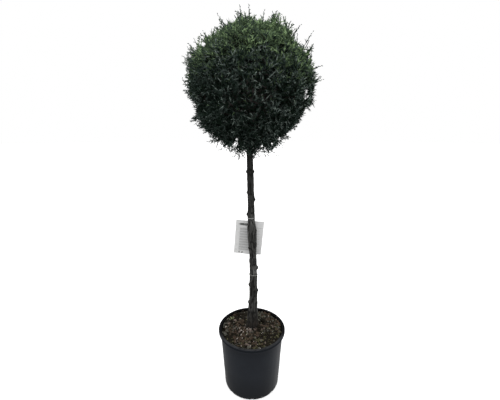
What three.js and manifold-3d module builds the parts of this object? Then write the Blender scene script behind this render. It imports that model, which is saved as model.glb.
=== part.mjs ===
// Potted cypress trained as a ball-headed standard: a nursery pot of potting mix, one bare trunk with pruned
// knots, and a clipped round crown made of boughs that each carry one mass of foliage.
// Millimetres, +Z up, origin at the centre of the pot's flat underside. The front faces -Y.

import * as THREE from "three";
import { mergeVertices } from "three/addons/utils/BufferGeometryUtils.js";
import Module from "manifold-3d";

const wasm = await Module();
wasm.setup();

// Driving dimensions
const GAP = 0.3; // clearance between pieces that meet
const POT = {
  height: 252,
  rimRadius: 140,
  shoulderRadius: 131,
  baseRadius: 116,
  wall: 3,
  floor: 4,
  lip: 11,
  lipRound: 2.6,
  foot: 5,
  sides: 40,
  slots: 8,
  slotWidth: 13,
  slotHeight: 6,
  slotDepth: 14,
};
const SOIL = { ground: 246, edge: 238, flat: 46, lumps: 2.6, chips: 26, chipEdge: 20, rings: [64, 84, 106] };
const CHIP = { length: 14, width: 6, thickness: 5, tilt: 0.5 };
const TRUNK = {
  // sideways place of the axis at even steps of height, from the ground to the tip
  x: [2, 7, 5.3, -1.8, -4.7, -8, -6, -3],
  y: [14, 12, 9, 6, 3, 0, 0, 0],
  tip: 1284,
  footRadius: 15.2,
  neckRadius: 11,
  tipRadius: 5.5,
  flare: 7,
  flareHeight: 100,
  swelling: { proud: 4, height: 660, halfLength: 58 },
  ridges: [
    // ridges round the bark: how many, how proud as a share of the radius, and the height they twist over
    { count: 3, proud: 0.05, twist: 90 },
    { count: 5, proud: 0.025, twist: -37 },
  ],
  sides: 10,
  steps: 32,
  footCrowding: 1.35,
};
// pruned knots: height, direction in degrees from +X, radius
const KNOTS = [
  [366, 190, 6],
  [424, 350, 6],
  [448, 175, 6.5],
  [526, 5, 8.5],
  [685, 335, 8],
  [749, 185, 7],
  [808, 0, 6],
  [835, 180, 5.5],
  [915, 8, 6],
  [915, 176, 5.5],
];
const KNOT = { reach: 3.6, rise: 0.25, rootShare: 1.25, tipShare: 0.6, sides: 6 };
const CROWN = { x: -2, y: 0, z: 1202, radius: 219, halfHeight: 204 };
// shares of the crown's radius, from its centre to its clipped outline
const BOUGH_END = 0.5;
const STEM_END = 0.7;
const CORE = { inside: 0.64, valley: 0.8, tuft: 0.14, innerDetail: 2, outerDetail: 8, trunkClearance: 6 };
const SPRIG = { root: 0.7, reach: 0.97, reachSpread: 0.07 };
const SHOOT = { reach: 0.3, lowest: -0.3, leastAside: 0.45, frontHighest: 0.2, slimReach: 1.15 };
// shoots that stand out to the sides and on top: azimuth and elevation of the tip in degrees, reach, and how
// many degrees lower the foot stands
const SHOOTS = [
  [180, 82, 1.32, 0],
  [180, 88, 1.31, 0],
  [175, 66, 1.3, -6],
  [172, 51, 1.23, 0],
  [0, 81, 1.24, 0],
  [5, 73, 1.27, 0],
  [348, 52, 1.22, 0],
  [0, 44, 1.31, 28],
  [176, 27, 1.25, 6],
  [358, 19, 1.18, 4],
  [3, 9, 1.17, 5],
  [176, -2, 1.09, 8],
  [184, -28, 1.12, 0],
  [343, 34, 1.14, 20],
  [314, 66, 1.13, 0],
  [245, 69, 1.11, 0],
  [195, 19, 1.12, -10],
];
// dips and swellings of the outline: azimuth, elevation and half width in degrees, and change of reach
const DIPS = [
  [350, -33, 30, -0.12],
  [190, -17, 14, -0.11],
  [189, -32, 9, 0.08],
  [189, -47, 9, -0.03],
  [336, 41, 13, -0.125],
  [342, 30, 6, 0.12],
  [318, 61, 13, 0.085],
  [293, 68, 7, -0.06],
  [250, 67, 13, 0.055],
  [226, 60, 8, -0.06],
  [345, -58, 9, -0.03],
  [100, -38, 26, -0.07],
  [197, 22, 10, 0.025],
  [80, 30, 22, 0.03],
];
const RINGS = [
  { name: "lower", count: 5, elevation: -24, turn: 54, firstHeight: -92, heightStep: 10, radius: 6.6 },
  { name: "upper", count: 4, elevation: 32, turn: 50, firstHeight: -36, heightStep: 13, radius: 6 },
];
const BOUGH = { taper: 0.62, sides: 7, steps: 5, bendOut: 0.55, bendUp: 0.35 };
const STEM = { straight: 14, taper: 0.7, sides: 6, steps: 3 };
const CELL_GAP = 0.8; // between the cores of neighbouring masses
const TRUNK_ROOM = 5; // between the bark and any spray
const SPRIGS = 184;
const SHOOT_EVERY = 6;
const FORK_EVERY = 6;
const SPRAY = { width: 26, widthSpread: 0.3, shootWidth: 0.6, thickness: 3, lean: 0.22 };
const FORK = { angle: 40, from: 0.45, length: 42, width: 20 };
// half outlines of the toothed blades, as shares of length and width
const SPRAY_EDGE = [
  [0, 0.09],
  [0.4, 0.1],
  [0.57, 0.5],
  [0.62, 0.2],
  [0.8, 0.42],
  [0.84, 0.14],
];
const FORK_EDGE = [
  [0, 0.1],
  [0.5, 0.5],
  [0.58, 0.2],
];
const MIDRIB = 0.6; // where the midrib is thickest
const SEEDS = { chips: 11, tufts: 7, sprigs: 100 };
const TAG = {
  width: 113,
  height: 143,
  thickness: 1,
  corner: 4,
  strapHeight: 736,
  drop: 23,
  aside: -2.2,
  neck: 9,
  swing: 4.2,
  lean: 4.8,
};
const BAND = { height: 2.4, thickness: 1.4, sides: 16 };
const TIE_HEIGHT = 491;

const GROUND = SOIL.ground + GAP; // the flat cut under the trunk
const CENTRE = new THREE.Vector3(CROWN.x, CROWN.y, CROWN.z);
const UP = new THREE.Vector3(0, 0, 1);
const GOLDEN_ANGLE = Math.PI * (3 - Math.sqrt(5));
const radians = THREE.MathUtils.degToRad;

// Materials
function finish(color, roughness) {
  return new THREE.MeshStandardMaterial({ color, roughness, metalness: 0 });
}
const MATERIALS = {
  pot: finish(0x24262a, 0.5),
  soil: finish(0x3b3227, 0.95),
  bark: finish(0x3a3833, 0.9),
  foliage: finish(0x2c3a2c, 0.8),
  tag: finish(0xd2d4d2, 0.6),
  tie: finish(0xa9a9a2, 0.7),
};

// A seeded run of numbers from 0 to 1, the same on every build.
function seeded(seed) {
  let state = seed >>> 0;
  return () => {
    state = (Math.imul(state, 1664525) + 1013904223) >>> 0;
    return state / 4294967296;
  };
}

// A closed geometry as a solid that can be joined and cut.
function solid(geometry) {
  const bare = geometry.index ? geometry.toNonIndexed() : geometry.clone();
  const points = new THREE.BufferGeometry().setAttribute("position", bare.getAttribute("position"));
  const merged = mergeVertices(points, 1e-4);
  return new wasm.Manifold(
    new wasm.Mesh({
      numProp: 3,
      vertProperties: new Float32Array(merged.getAttribute("position").array),
      triVerts: new Uint32Array(merged.index.array),
    }),
  );
}

// The largest body of a joined solid: loose scraps are dropped and sealed hollows are filled.
function largestBody(joined) {
  const bodies = joined.decompose().sort((a, b) => b.volume() - a.volume());
  return bodies[0];
}

function geometryOf(made) {
  const { vertProperties, triVerts } = made.getMesh();
  return new THREE.BufferGeometry()
    .setAttribute("position", new THREE.BufferAttribute(new Float32Array(vertProperties), 3))
    .setIndex(new THREE.BufferAttribute(new Uint32Array(triVerts), 1));
}

function piece(name, geometry, material) {
  geometry.computeVertexNormals();
  const mesh = new THREE.Mesh(geometry, material);
  mesh.name = name;
  return mesh;
}

// The unit vector at an azimuth from +X and an elevation, in radians.
function directionOf(azimuth, elevation) {
  return new THREE.Vector3(
    Math.cos(elevation) * Math.cos(azimuth),
    Math.cos(elevation) * Math.sin(azimuth),
    Math.sin(elevation),
  );
}

// A lathe turned about +Z from points of (radius, height).
function turned(points) {
  return new THREE.LatheGeometry(points, POT.sides).rotateX(Math.PI / 2);
}

// A closed cylinder whose every vertex is put elsewhere: place(along, angle, out) gives the new point, with
// along running from 0 to 1, and out being 0 on the axis and 1 on the side.
function shapedCylinder(sides, steps, place) {
  const geometry = new THREE.CylinderGeometry(1, 1, 1, sides, steps);
  const points = geometry.getAttribute("position");
  const at = new THREE.Vector3();
  for (let i = 0; i < points.count; i++) {
    at.fromBufferAttribute(points, i);
    const moved = place(at.y + 0.5, Math.atan2(-at.z, at.x), Math.hypot(at.x, at.z));
    points.setXYZ(i, moved.x, moved.y, moved.z);
  }
  return geometry;
}

// A limb of round section that tapers along a curve.
function limb(curve, rootRadius, tipRadius, sides, steps) {
  const across = new THREE.Vector3();
  return shapedCylinder(sides, steps, (along, angle, out) => {
    const tangent = curve.getTangent(along);
    const aside = across.crossVectors(tangent, UP).lengthSq() > 1e-3 ? across : across.set(1, 0, 0);
    const normal = aside.clone().normalize();
    const binormal = tangent.clone().cross(normal).normalize();
    const radius = out * THREE.MathUtils.lerp(rootRadius, tipRadius, along);
    return curve
      .getPoint(along)
      .addScaledVector(normal, radius * Math.cos(angle))
      .addScaledVector(binormal, radius * Math.sin(angle));
  });
}

// Pot: one turned shell with a rolled lip, a rounded foot and drain slots through the foot
const potOuterRadius = (z) =>
  POT.baseRadius + ((POT.shoulderRadius - POT.baseRadius) * z) / (POT.height - POT.lip);
const potInnerRadius = (z) => potOuterRadius(z) - POT.wall;

function pot() {
  const lipFoot = POT.height - POT.lip;
  const mouth = potInnerRadius(POT.height);
  const outline = new THREE.Path()
    .moveTo(0, 0)
    .lineTo(POT.baseRadius - POT.foot, 0)
    .quadraticCurveTo(POT.baseRadius, 0, potOuterRadius(POT.foot), POT.foot)
    .lineTo(POT.shoulderRadius, lipFoot)
    .lineTo(POT.rimRadius - 1, lipFoot + 1)
    .lineTo(POT.rimRadius, POT.height - POT.lipRound)
    .quadraticCurveTo(POT.rimRadius, POT.height, POT.rimRadius - POT.lipRound, POT.height)
    .lineTo(mouth, POT.height)
    .lineTo(potInnerRadius(POT.floor), POT.floor)
    .lineTo(0, POT.floor);
  const slots = Array.from({ length: POT.slots }, (_, i) => {
    const slot = new THREE.BoxGeometry(POT.slotDepth * 2, POT.slotWidth, POT.slotHeight * 2);
    return solid(slot.translate(POT.baseRadius, 0, 0).rotateZ(radians(270) + (i * 2 * Math.PI) / POT.slots));
  });
  const shell = solid(turned(outline.getPoints(3)));
  return piece("pot", geometryOf(shell.subtract(wasm.Manifold.union(slots))), MATERIALS.pot);
}

// Potting mix: a plug that fills the pot, with a low mound that the trunk stands on and bark chips sunk in it
function groundHeight(x, y) {
  const out = Math.hypot(x, y);
  const fall = THREE.MathUtils.smoothstep(out, SOIL.flat, potInnerRadius(SOIL.edge));
  const rough = THREE.MathUtils.smoothstep(out, SOIL.flat, SOIL.flat + 20) * (1 - fall ** 4);
  const lumps = SOIL.lumps * Math.sin(x / 15 + 1) * Math.cos(y / 12 - x / 40);
  return THREE.MathUtils.lerp(SOIL.ground, SOIL.edge, fall) + lumps * rough;
}

function barkChips() {
  const random = seeded(SEEDS.chips);
  const inner = SOIL.flat + CHIP.thickness;
  const outer = potInnerRadius(SOIL.edge) - SOIL.chipEdge;
  return Array.from({ length: SOIL.chips }, (_, i) => {
    const share = (i + 0.5) / SOIL.chips;
    const out = Math.sqrt(THREE.MathUtils.lerp(inner ** 2, outer ** 2, share));
    const x = out * Math.cos(i * GOLDEN_ANGLE);
    const y = out * Math.sin(i * GOLDEN_ANGLE);
    const length = CHIP.length * (1 + random());
    const width = CHIP.width * (1 + random());
    const chip = new THREE.BoxGeometry(length, width, CHIP.thickness);
    chip.rotateX(CHIP.tilt * (random() - 0.5)).rotateY(CHIP.tilt * (random() - 0.5));
    chip.rotateZ(2 * Math.PI * random());
    return solid(chip.translate(x, y, groundHeight(x, y)));
  });
}

function soil() {
  const bottom = POT.floor + GAP;
  const edgeRadius = potInnerRadius(SOIL.edge) - GAP;
  const outline = [
    new THREE.Vector2(0, bottom),
    new THREE.Vector2(potInnerRadius(bottom) - GAP, bottom),
    new THREE.Vector2(edgeRadius, SOIL.edge),
    ...[...SOIL.rings].reverse().map((r) => new THREE.Vector2(r, SOIL.ground)),
    new THREE.Vector2(SOIL.flat, SOIL.ground),
    new THREE.Vector2(0, SOIL.ground),
  ];
  const plug = turned(outline);
  const points = plug.getAttribute("position");
  for (let i = 0; i < points.count; i++) {
    const onTop = points.getZ(i) > SOIL.edge + 1;
    if (onTop) points.setZ(i, groundHeight(points.getX(i), points.getY(i)));
  }
  const joined = wasm.Manifold.union([solid(plug), ...barkChips()]);
  return piece("soil", geometryOf(largestBody(joined)), MATERIALS.soil);
}

// Trunk: level rings round a gently bent axis, tapering from a flared foot to a tip inside the crown
const trunkCurve = new THREE.CatmullRomCurve3(
  TRUNK.x.map((x, i) => {
    const share = i / (TRUNK.x.length - 1);
    return new THREE.Vector3(x, TRUNK.y[i], THREE.MathUtils.lerp(GROUND, TRUNK.tip, share));
  }),
  false,
  "catmullrom",
);
const trunkShare = (z) => (z - GROUND) / (TRUNK.tip - GROUND);
const trunkAxis = (z) => trunkCurve.getPoint(THREE.MathUtils.clamp(trunkShare(z), 0, 1));

function trunkRadius(z) {
  const neck = CROWN.z - CROWN.halfHeight;
  const { footRadius, neckRadius, tipRadius } = TRUNK;
  const shaft = THREE.MathUtils.mapLinear(Math.min(z, neck), GROUND, neck, footRadius, neckRadius);
  const narrowing = THREE.MathUtils.mapLinear(Math.max(z, neck), neck, TRUNK.tip, 0, neckRadius - tipRadius);
  const { proud, height, halfLength } = TRUNK.swelling;
  const swelling = proud * Math.exp(-(((z - height) / halfLength) ** 4));
  return shaft - narrowing + swelling + TRUNK.flare * Math.exp((GROUND - z) / TRUNK.flareHeight);
}

// The shaft without its knots, grown outwards by a clearance. Its rings crowd together at the flared foot.
function trunkShaft(clearance) {
  const place = (along, angle, out) => {
    const z = THREE.MathUtils.lerp(GROUND, TRUNK.tip, along ** TRUNK.footCrowding);
    const ridge = ({ count, proud, twist }) => proud * Math.sin(count * angle + z / twist);
    const ridges = TRUNK.ridges.reduce((sum, each) => sum + ridge(each), 1);
    const radius = out * (trunkRadius(z) * ridges + clearance);
    const axis = trunkAxis(z);
    return axis.set(axis.x + radius * Math.cos(angle), axis.y + radius * Math.sin(angle), z);
  };
  return solid(shapedCylinder(TRUNK.sides, TRUNK.steps, place));
}

function knot([height, direction, radius]) {
  const outwards = directionOf(radians(direction), Math.atan(KNOT.rise));
  const root = trunkAxis(height);
  const tip = root.clone().addScaledVector(outwards, trunkRadius(height) + KNOT.reach);
  const axis = new THREE.LineCurve3(root, tip);
  return solid(limb(axis, radius * KNOT.rootShare, radius * KNOT.tipShare, KNOT.sides, 1));
}

function trunk() {
  const joined = wasm.Manifold.union([trunkShaft(0), ...KNOTS.map(knot)]);
  return piece("trunk", geometryOf(largestBody(joined)), MATERIALS.bark);
}

// A level band that fits round the trunk
function band(height) {
  const axis = trunkAxis(height);
  const outer = trunkRadius(height) + BAND.thickness + GAP;
  const disc = new THREE.CylinderGeometry(outer, outer, BAND.height, BAND.sides).rotateX(Math.PI / 2);
  return solid(disc.translate(axis.x, axis.y, height)).subtract(trunkShaft(GAP));
}

// Blank plant tag: a card with a narrow neck up to its own strap, hanging behind the trunk
function tag() {
  const left = TAG.aside - TAG.width / 2;
  const right = TAG.aside + TAG.width / 2;
  const top = -TAG.drop;
  const bottom = top - TAG.height;
  const c = TAG.corner;
  const card = new THREE.Shape()
    .moveTo(left + c, bottom)
    .lineTo(right - c, bottom)
    .absarc(right - c, bottom + c, c, -Math.PI / 2, 0)
    .absarc(right - c, top - c, c, 0, Math.PI / 2)
    .lineTo(TAG.neck / 2, top)
    .lineTo(TAG.neck / 2, BAND.height / 2)
    .lineTo(-TAG.neck / 2, BAND.height / 2)
    .lineTo(-TAG.neck / 2, top)
    .absarc(left + c, top - c, c, Math.PI / 2, Math.PI)
    .absarc(left + c, bottom + c, c, Math.PI, 1.5 * Math.PI);
  const axis = trunkAxis(TAG.strapHeight);
  const behind = axis.y + trunkRadius(TAG.strapHeight) + 3 * GAP;
  const thin = { depth: TAG.thickness, bevelEnabled: false, curveSegments: 3 };
  const sheet = new THREE.ExtrudeGeometry(card, thin);
  sheet.rotateX(Math.PI / 2).translate(0, TAG.thickness, 0);
  sheet.rotateY(radians(TAG.swing)).rotateX(radians(TAG.lean));
  const hung = solid(sheet.translate(axis.x, behind, TAG.strapHeight)).subtract(trunkShaft(GAP));
  const joined = wasm.Manifold.union([hung, band(TAG.strapHeight)]);
  return piece("tag", geometryOf(largestBody(joined)), MATERIALS.tag);
}

function tie() {
  return piece("tie", geometryOf(band(TIE_HEIGHT)), MATERIALS.tie);
}

// Crown: each mass owns the part of the ball that is nearest to its own direction
const RADII = new THREE.Vector3(CROWN.radius, CROWN.radius, CROWN.halfHeight);
const inCrown = (direction, share) => direction.clone().multiply(RADII).multiplyScalar(share).add(CENTRE);

// The outline in a direction: each dip or swelling fades with the square of the angle from its middle.
function outlineShare(direction) {
  return DIPS.reduce((share, [azimuth, elevation, halfWidth, change]) => {
    const aside = direction.angleTo(directionOf(radians(azimuth), radians(elevation)));
    return share + change * Math.exp(-((aside / radians(halfWidth)) ** 2));
  }, 1);
}

const masses = RINGS.flatMap((ring) =>
  Array.from({ length: ring.count }, (_, i) => ({
    name: `${ring.name}_${i + 1}`,
    direction: directionOf(radians(ring.turn) + (i * 2 * Math.PI) / ring.count, radians(ring.elevation)),
    bough: { height: CROWN.z + ring.firstHeight + i * ring.heightStep, radius: ring.radius },
  })),
);
masses.push({ name: "top", direction: UP.clone() });
masses.forEach((mass) => {
  mass.walls = masses
    .filter((other) => other !== mass)
    .map((other) => mass.direction.clone().sub(other.direction).divide(RADII).normalize());
});

const inOwnSpace = (mass, point) => {
  const from = point.clone().sub(CENTRE);
  return mass.walls.every((wall) => wall.dot(from) > CELL_GAP / 2);
};
const clearOfTrunk = (point) => {
  const axis = trunkAxis(point.z);
  const beside = Math.hypot(point.x - axis.x, point.y - axis.y) > trunkRadius(point.z) + TRUNK_ROOM;
  return beside || point.z > TRUNK.tip + TRUNK_ROOM;
};

// A bough leaves the trunk's axis, rises as it goes out, and is cut to sit on the bark.
function boughCurve(mass) {
  const root = trunkAxis(mass.bough.height);
  const end = inCrown(mass.direction, BOUGH_END);
  const bend = root.clone().lerp(end, BOUGH.bendOut);
  bend.z = THREE.MathUtils.lerp(root.z, end.z, BOUGH.bendUp);
  return new THREE.QuadraticBezierCurve3(root, bend, end);
}

function bough(mass) {
  const { radius } = mass.bough;
  const whole = solid(limb(boughCurve(mass), radius, radius * BOUGH.taper, BOUGH.sides, BOUGH.steps));
  const seated = largestBody(whole.subtract(trunkShaft(GAP)));
  return piece(`bough_${mass.name}`, geometryOf(seated), MATERIALS.bark);
}

// The stem that carries a mass on from its bough's end, or from the trunk's tip, into the core.
function stem(mass) {
  const from = mass.bough ? boughCurve(mass).getPoint(1) : trunkAxis(TRUNK.tip);
  const heading = mass.bough ? boughCurve(mass).getTangent(1) : UP.clone();
  const radius = mass.bough ? mass.bough.radius * BOUGH.taper : TRUNK.tipRadius;
  const root = from.clone().addScaledVector(heading, GAP);
  const bend = root.clone().addScaledVector(heading, STEM.straight);
  const curve = new THREE.QuadraticBezierCurve3(root, bend, inCrown(mass.direction, STEM_END));
  return solid(limb(curve, radius, radius * STEM.taper, STEM.sides, STEM.steps));
}

// The core of a mass: its share of a hollow ball of pointed tufts, cut clear of its neighbours and the trunk.
function ball(detail, shareAt) {
  const bare = new THREE.IcosahedronGeometry(1, detail).deleteAttribute("uv").deleteAttribute("normal");
  const shape = mergeVertices(bare);
  const points = shape.getAttribute("position");
  const direction = new THREE.Vector3();
  for (let i = 0; i < points.count; i++) {
    direction.fromBufferAttribute(points, i);
    const moved = inCrown(direction, shareAt(direction));
    points.setXYZ(i, moved.x, moved.y, moved.z);
  }
  return solid(shape);
}

function hollowBall() {
  const random = seeded(SEEDS.tufts);
  const tufts = (direction) => outlineShare(direction) * (CORE.valley + CORE.tuft * random() ** 2);
  const outside = ball(CORE.outerDetail, tufts);
  const inside = ball(CORE.innerDetail, () => CORE.inside);
  return outside.subtract(inside).subtract(trunkShaft(CORE.trunkClearance));
}

function halfSpace(wall) {
  const size = 3 * CROWN.radius;
  const block = new THREE.BoxGeometry(2 * size, 2 * size, size).translate(0, 0, (size + CELL_GAP) / 2);
  block.applyQuaternion(new THREE.Quaternion().setFromUnitVectors(UP, wall));
  return solid(block.translate(...CENTRE.toArray()));
}

const wholeCore = hollowBall();
const core = (mass) => mass.walls.map(halfSpace).reduce((rest, half) => rest.intersect(half), wholeCore);

// A spray of needles: a flat toothed blade on its own slim twig, thickest along the midrib.
function sprayPoints(edge, root, heading, face, length, width) {
  const aside = heading.clone().cross(face).normalize();
  const at = (along, out, lift) =>
    root
      .clone()
      .addScaledVector(heading, along * length)
      .addScaledVector(aside, out * width)
      .addScaledVector(face, lift * SPRAY.thickness);
  const edges = [1, -1].map((side) => edge.map(([along, out]) => at(along, side * out, 0)));
  const ribs = [0.5, -0.5].map((lift) => [at(0, 0, lift), at(MIDRIB, 0, lift)]);
  return { edges, ribs, tip: at(1, 0, 0) };
}

function spray({ edges, ribs, tip }) {
  const [[upper], [lower]] = ribs;
  const corners = [upper, edges[1][0], lower, upper, lower, edges[0][0]];
  edges.forEach((edge, side) =>
    ribs.forEach(([foot, middle], face) => {
      const rim = [...edge.slice(1), tip];
      const faces = [[foot, edge[0], edge[1]], [foot, edge[1], middle]];
      for (let i = 1; i < rim.length; i++) faces.push([middle, rim[i - 1], rim[i]]);
      faces.forEach((corner) => corners.push(...(side === face ? corner : corner.reverse())));
    }),
  );
  return solid(new THREE.BufferGeometry().setFromPoints(corners));
}

// A sprig stands out of the core: one spray along its own heading and, where it forks, a smaller one that
// leaves its face. A listed shoot runs from its own foot to its own reach. What would leave the mass's space or
// come near the trunk is skipped.
function sprig(mass, { direction, footDirection, shoot, ownReach, forks }, random) {
  const keeps = (point) => inOwnSpace(mass, point) && clearOfTrunk(point);
  const keepsAll = ({ edges, ribs, tip }) => [...edges, ...ribs, [tip]].flat().every(keeps);
  const lean = new THREE.Vector3(random() - 0.5, random() - 0.5, random() - 0.35).multiplyScalar(SPRAY.lean);
  const extra = random();
  const fullness = random();
  const roll = 2 * Math.PI * random();
  const rise = 0.4 + 0.6 * Math.max(0, direction.z);
  const shootReach = 1 + SHOOT.reach * rise * (0.75 + 0.25 * extra);
  const drawnReach = shoot ? shootReach : SPRIG.reach + SPRIG.reachSpread * extra;
  const towards = ownReach ? direction : direction.clone().add(lean).normalize();
  const root = inCrown(footDirection ?? direction, SPRIG.root);
  const tip = inCrown(towards, ownReach ?? drawnReach * outlineShare(towards));
  const heading = tip.clone().sub(root).normalize();
  const length = tip.distanceTo(root);
  const width = SPRAY.width * (shoot ? SPRAY.shootWidth : 1 + SPRAY.widthSpread * (fullness - 0.5));
  const face = heading.clone().cross(UP).normalize().applyAxisAngle(heading, roll);
  const main = sprayPoints(SPRAY_EDGE, root, heading, face, length, width);
  if (!keepsAll(main)) return [];
  const angle = radians(FORK.angle);
  const forkHeading = heading.clone().multiplyScalar(Math.cos(angle)).addScaledVector(face, Math.sin(angle));
  const flat = forkHeading.clone().cross(heading.clone().cross(face)).normalize();
  const from = root.clone().addScaledVector(heading, length * FORK.from);
  const fork = sprayPoints(FORK_EDGE, from, forkHeading, flat, FORK.length, FORK.width);
  return forks && keepsAll(fork) ? [spray(main), spray(fork)] : [spray(main)];
}

// Sprigs stand in even directions over the whole ball. For each listed shoot the nearest free sprig turns to
// it. At the back and low at the front some of the others are shoots too.
function evenSprig(_, i) {
  const height = 1 - (2 * (i + 0.5)) / SPRIGS;
  const direction = directionOf(i * GOLDEN_ANGLE, Math.asin(height));
  const aside = direction.z > SHOOT.lowest && Math.abs(direction.y) > SHOOT.leastAside;
  const standsOut = aside && (direction.y > 0 || direction.z < SHOOT.frontHighest);
  return { direction, shoot: i % SHOOT_EVERY === 0 && standsOut, forks: i % FORK_EVERY === 1 };
}

const sprigs = Array.from({ length: SPRIGS }, evenSprig);
SHOOTS.forEach(([azimuth, elevation, reach, lower]) => {
  const direction = directionOf(radians(azimuth), radians(elevation));
  const footDirection = directionOf(radians(azimuth), radians(elevation - lower));
  const closeness = (each) => each.direction.dot(direction);
  const free = sprigs.filter((each) => !each.ownReach);
  const nearest = free.reduce((best, each) => (closeness(each) > closeness(best) ? each : best));
  Object.assign(nearest, { direction, footDirection, shoot: reach > SHOOT.slimReach, ownReach: reach });
});

// A sprig belongs to the mass whose direction is nearest to its own.
function owner({ direction }) {
  const closeness = (mass) => mass.direction.dot(direction);
  return masses.reduce((best, mass) => (closeness(mass) > closeness(best) ? mass : best));
}

function foliage(mass, seed) {
  const random = seeded(seed);
  const own = sprigs.filter((each) => owner(each) === mass);
  const parts = [core(mass), stem(mass), ...own.flatMap((each) => sprig(mass, each, random))];
  const joined = largestBody(wasm.Manifold.union(parts));
  return piece(`foliage_${mass.name}`, geometryOf(joined), MATERIALS.foliage);
}

const plant = new THREE.Group();
plant.name = "potted_cypress";
plant.add(pot(), soil(), trunk(), tag(), tie());
masses.filter((mass) => mass.bough).forEach((mass) => plant.add(bough(mass)));
masses.forEach((mass, i) => plant.add(foliage(mass, SEEDS.sprigs + i)));

export default plant;
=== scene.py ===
"""Potted cypress trained as a ball-headed standard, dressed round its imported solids.

Shapes are worked out in millimetres in the part's own frame, +Z up and the front towards -Y, and go into the
meshes in metres. Each is a function of two parameters on a grid, or a profile carried along a path.
"""
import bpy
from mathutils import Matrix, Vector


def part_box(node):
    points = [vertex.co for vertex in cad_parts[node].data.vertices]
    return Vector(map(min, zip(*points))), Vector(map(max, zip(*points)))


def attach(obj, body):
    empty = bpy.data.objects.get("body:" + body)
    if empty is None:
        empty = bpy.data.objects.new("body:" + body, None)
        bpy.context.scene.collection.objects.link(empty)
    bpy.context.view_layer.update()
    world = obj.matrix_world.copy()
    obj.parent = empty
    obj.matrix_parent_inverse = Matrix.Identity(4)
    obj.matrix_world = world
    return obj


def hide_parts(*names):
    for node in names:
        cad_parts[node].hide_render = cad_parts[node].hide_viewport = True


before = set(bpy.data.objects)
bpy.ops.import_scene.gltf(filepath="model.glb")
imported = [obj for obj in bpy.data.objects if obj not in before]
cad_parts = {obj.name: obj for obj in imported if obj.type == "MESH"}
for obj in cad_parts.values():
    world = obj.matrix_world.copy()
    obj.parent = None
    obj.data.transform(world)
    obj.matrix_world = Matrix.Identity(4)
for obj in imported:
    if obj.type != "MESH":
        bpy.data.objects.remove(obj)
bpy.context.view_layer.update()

from types import SimpleNamespace as Sizes

import bpy
import numpy as np

MM = 0.001  # metres in a millimetre
UP = np.array([0.0, 0.0, 1.0])
ASKEW = np.array([0.36, 0.48, 0.8])  # a slanting direction, to measure turns about a limb from
FRONT = np.radians(270)
GOLDEN_ANGLE = np.pi * (3 - np.sqrt(5))
random = np.random.default_rng(12)  # for the crown
strewn = np.random.default_rng(8)  # for the mulch and what lies on it


def box_of(node):
    """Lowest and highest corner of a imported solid, in millimetres."""
    return tuple(np.array(corner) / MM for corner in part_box(node))


# Driving dimensions, in millimetres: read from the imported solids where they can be, else the source's own or
# set a little closer to the photograph
pot_high = box_of("pot")[1]
trunk_low, trunk_high = box_of("trunk")
GAP = 0.3  # between solids that would touch
POT = Sizes(
    height=pot_high[2],
    rim=pot_high[0],
    shoulder=131,
    base=116,
    wall=3,
    floor=4,
    foot=5,
    slots=8,
    slot_width=13,
    slot_height=6,
    slot_depth=14,
    slot_edge=0.004,  # in radians
    slot_columns=20,  # between two slots
    columns=180,  # round the lip, and round the soil
    wave=0.35,
    waves=((3, 47), (2, 31)),  # how many round the wall, and the height that they twist over
    crease=38,  # in degrees: sharper edges stay sharp
)
LIP = Sizes(
    height=11,
    overlap=3,  # how far the wall runs up behind it
    depth=22,  # how far it reaches down inside
    edge=1.4,  # size of its rounded outer edge
    mouth=1.5,  # size of its rounded inner edge
    under=4,  # how far its underside runs down the wall
    soft=1,  # how far the corner under its face is drawn in
    belly=3,  # how far its underside rounds up into its face
    bite=1,  # how far it reaches into the wall
    draft=0.2,  # how much narrower its face is at the foot
    lining=0.2,  # how far its inside stands in from the wall
    seam=0.3,
)
SOIL = Sizes(
    ground=trunk_low[2] - GAP,
    edge=238,
    flat=46,
    rough=20,  # how far out from the flat part the lumps are in full
    lumps=2.6,
    lump_x=15,
    lump_y=12,
    lump_skew=40,
    bottom=14,
    inmost=1.5,  # radius of the innermost ring of points
)
CRUMBS = Sizes(height=4.5, broad=9, fine=4, fine_share=0.7)
TRUNK = Sizes(
    x=np.array([2, 7, 5.3, -1.8, -4.7, -8, -6, -3]),
    y=np.array([14, 12, 9, 6, 3, 0, 0, 0]),
    ground=trunk_low[2],
    tip=trunk_high[2],
    foot=16.2,
    neck=12.3,
    end=5.5,
    flare=9,
    flare_height=100,
    swelling=3.4,
    swelling_height=660,
    swelling_half=58,
    sunk=7,
    crowding=1.15,  # above 1, rings stand closer together towards the foot
)
# ridges: how many round the trunk, how proud as a share of its radius, and the height they twist over
RIDGES = [(3, 0.05, 90), (5, 0.025, -37)]
# pruned knots: height, direction in degrees from +X, radius
KNOTS = np.array([
    [366, 190, 6],
    [420, 350, 6],
    [444, 175, 6.5],
    [521, 5, 8.5],
    [685, 335, 6.5],
    [749, 185, 7],
    [808, 0, 6],
    [835, 180, 5.5],
    [915, 8, 6],
    [915, 176, 5.5],
    [612, 222, 6],
    [669, 306, 5.5],
    [799, 236, 5],
    [388, 262, 6],
    [560, 95, 7],
    [760, 80, 6],
    [470, 100, 7],
])
KNOT = Sizes(reach=4.6, width=0.95, collar=0.16, collar_width=1.7, scar=0.5, darkening=0.6)
BARK = Sizes(
    furrow=(3.8, 3.8, 24.0),
    furrow_depth=1.3,
    furrow_level=0.8,
    furrow_mark=0.7,
    grain=(1.5, 1.5, 6.0),
    grain_depth=0.4,
    grain_level=0.5,
    grain_mark=0.3,
    lump=(16, 16, 24),
    lump_depth=2.6,
    root_lobes=4,
    lobe_depth=0.12,
    lobe_turn=0.8,
)
CROWN = Sizes(centre=np.array([-2.0, 0.0, 1202.0]), radii=np.array([219.0, 219.0, 204.0]))
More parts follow.
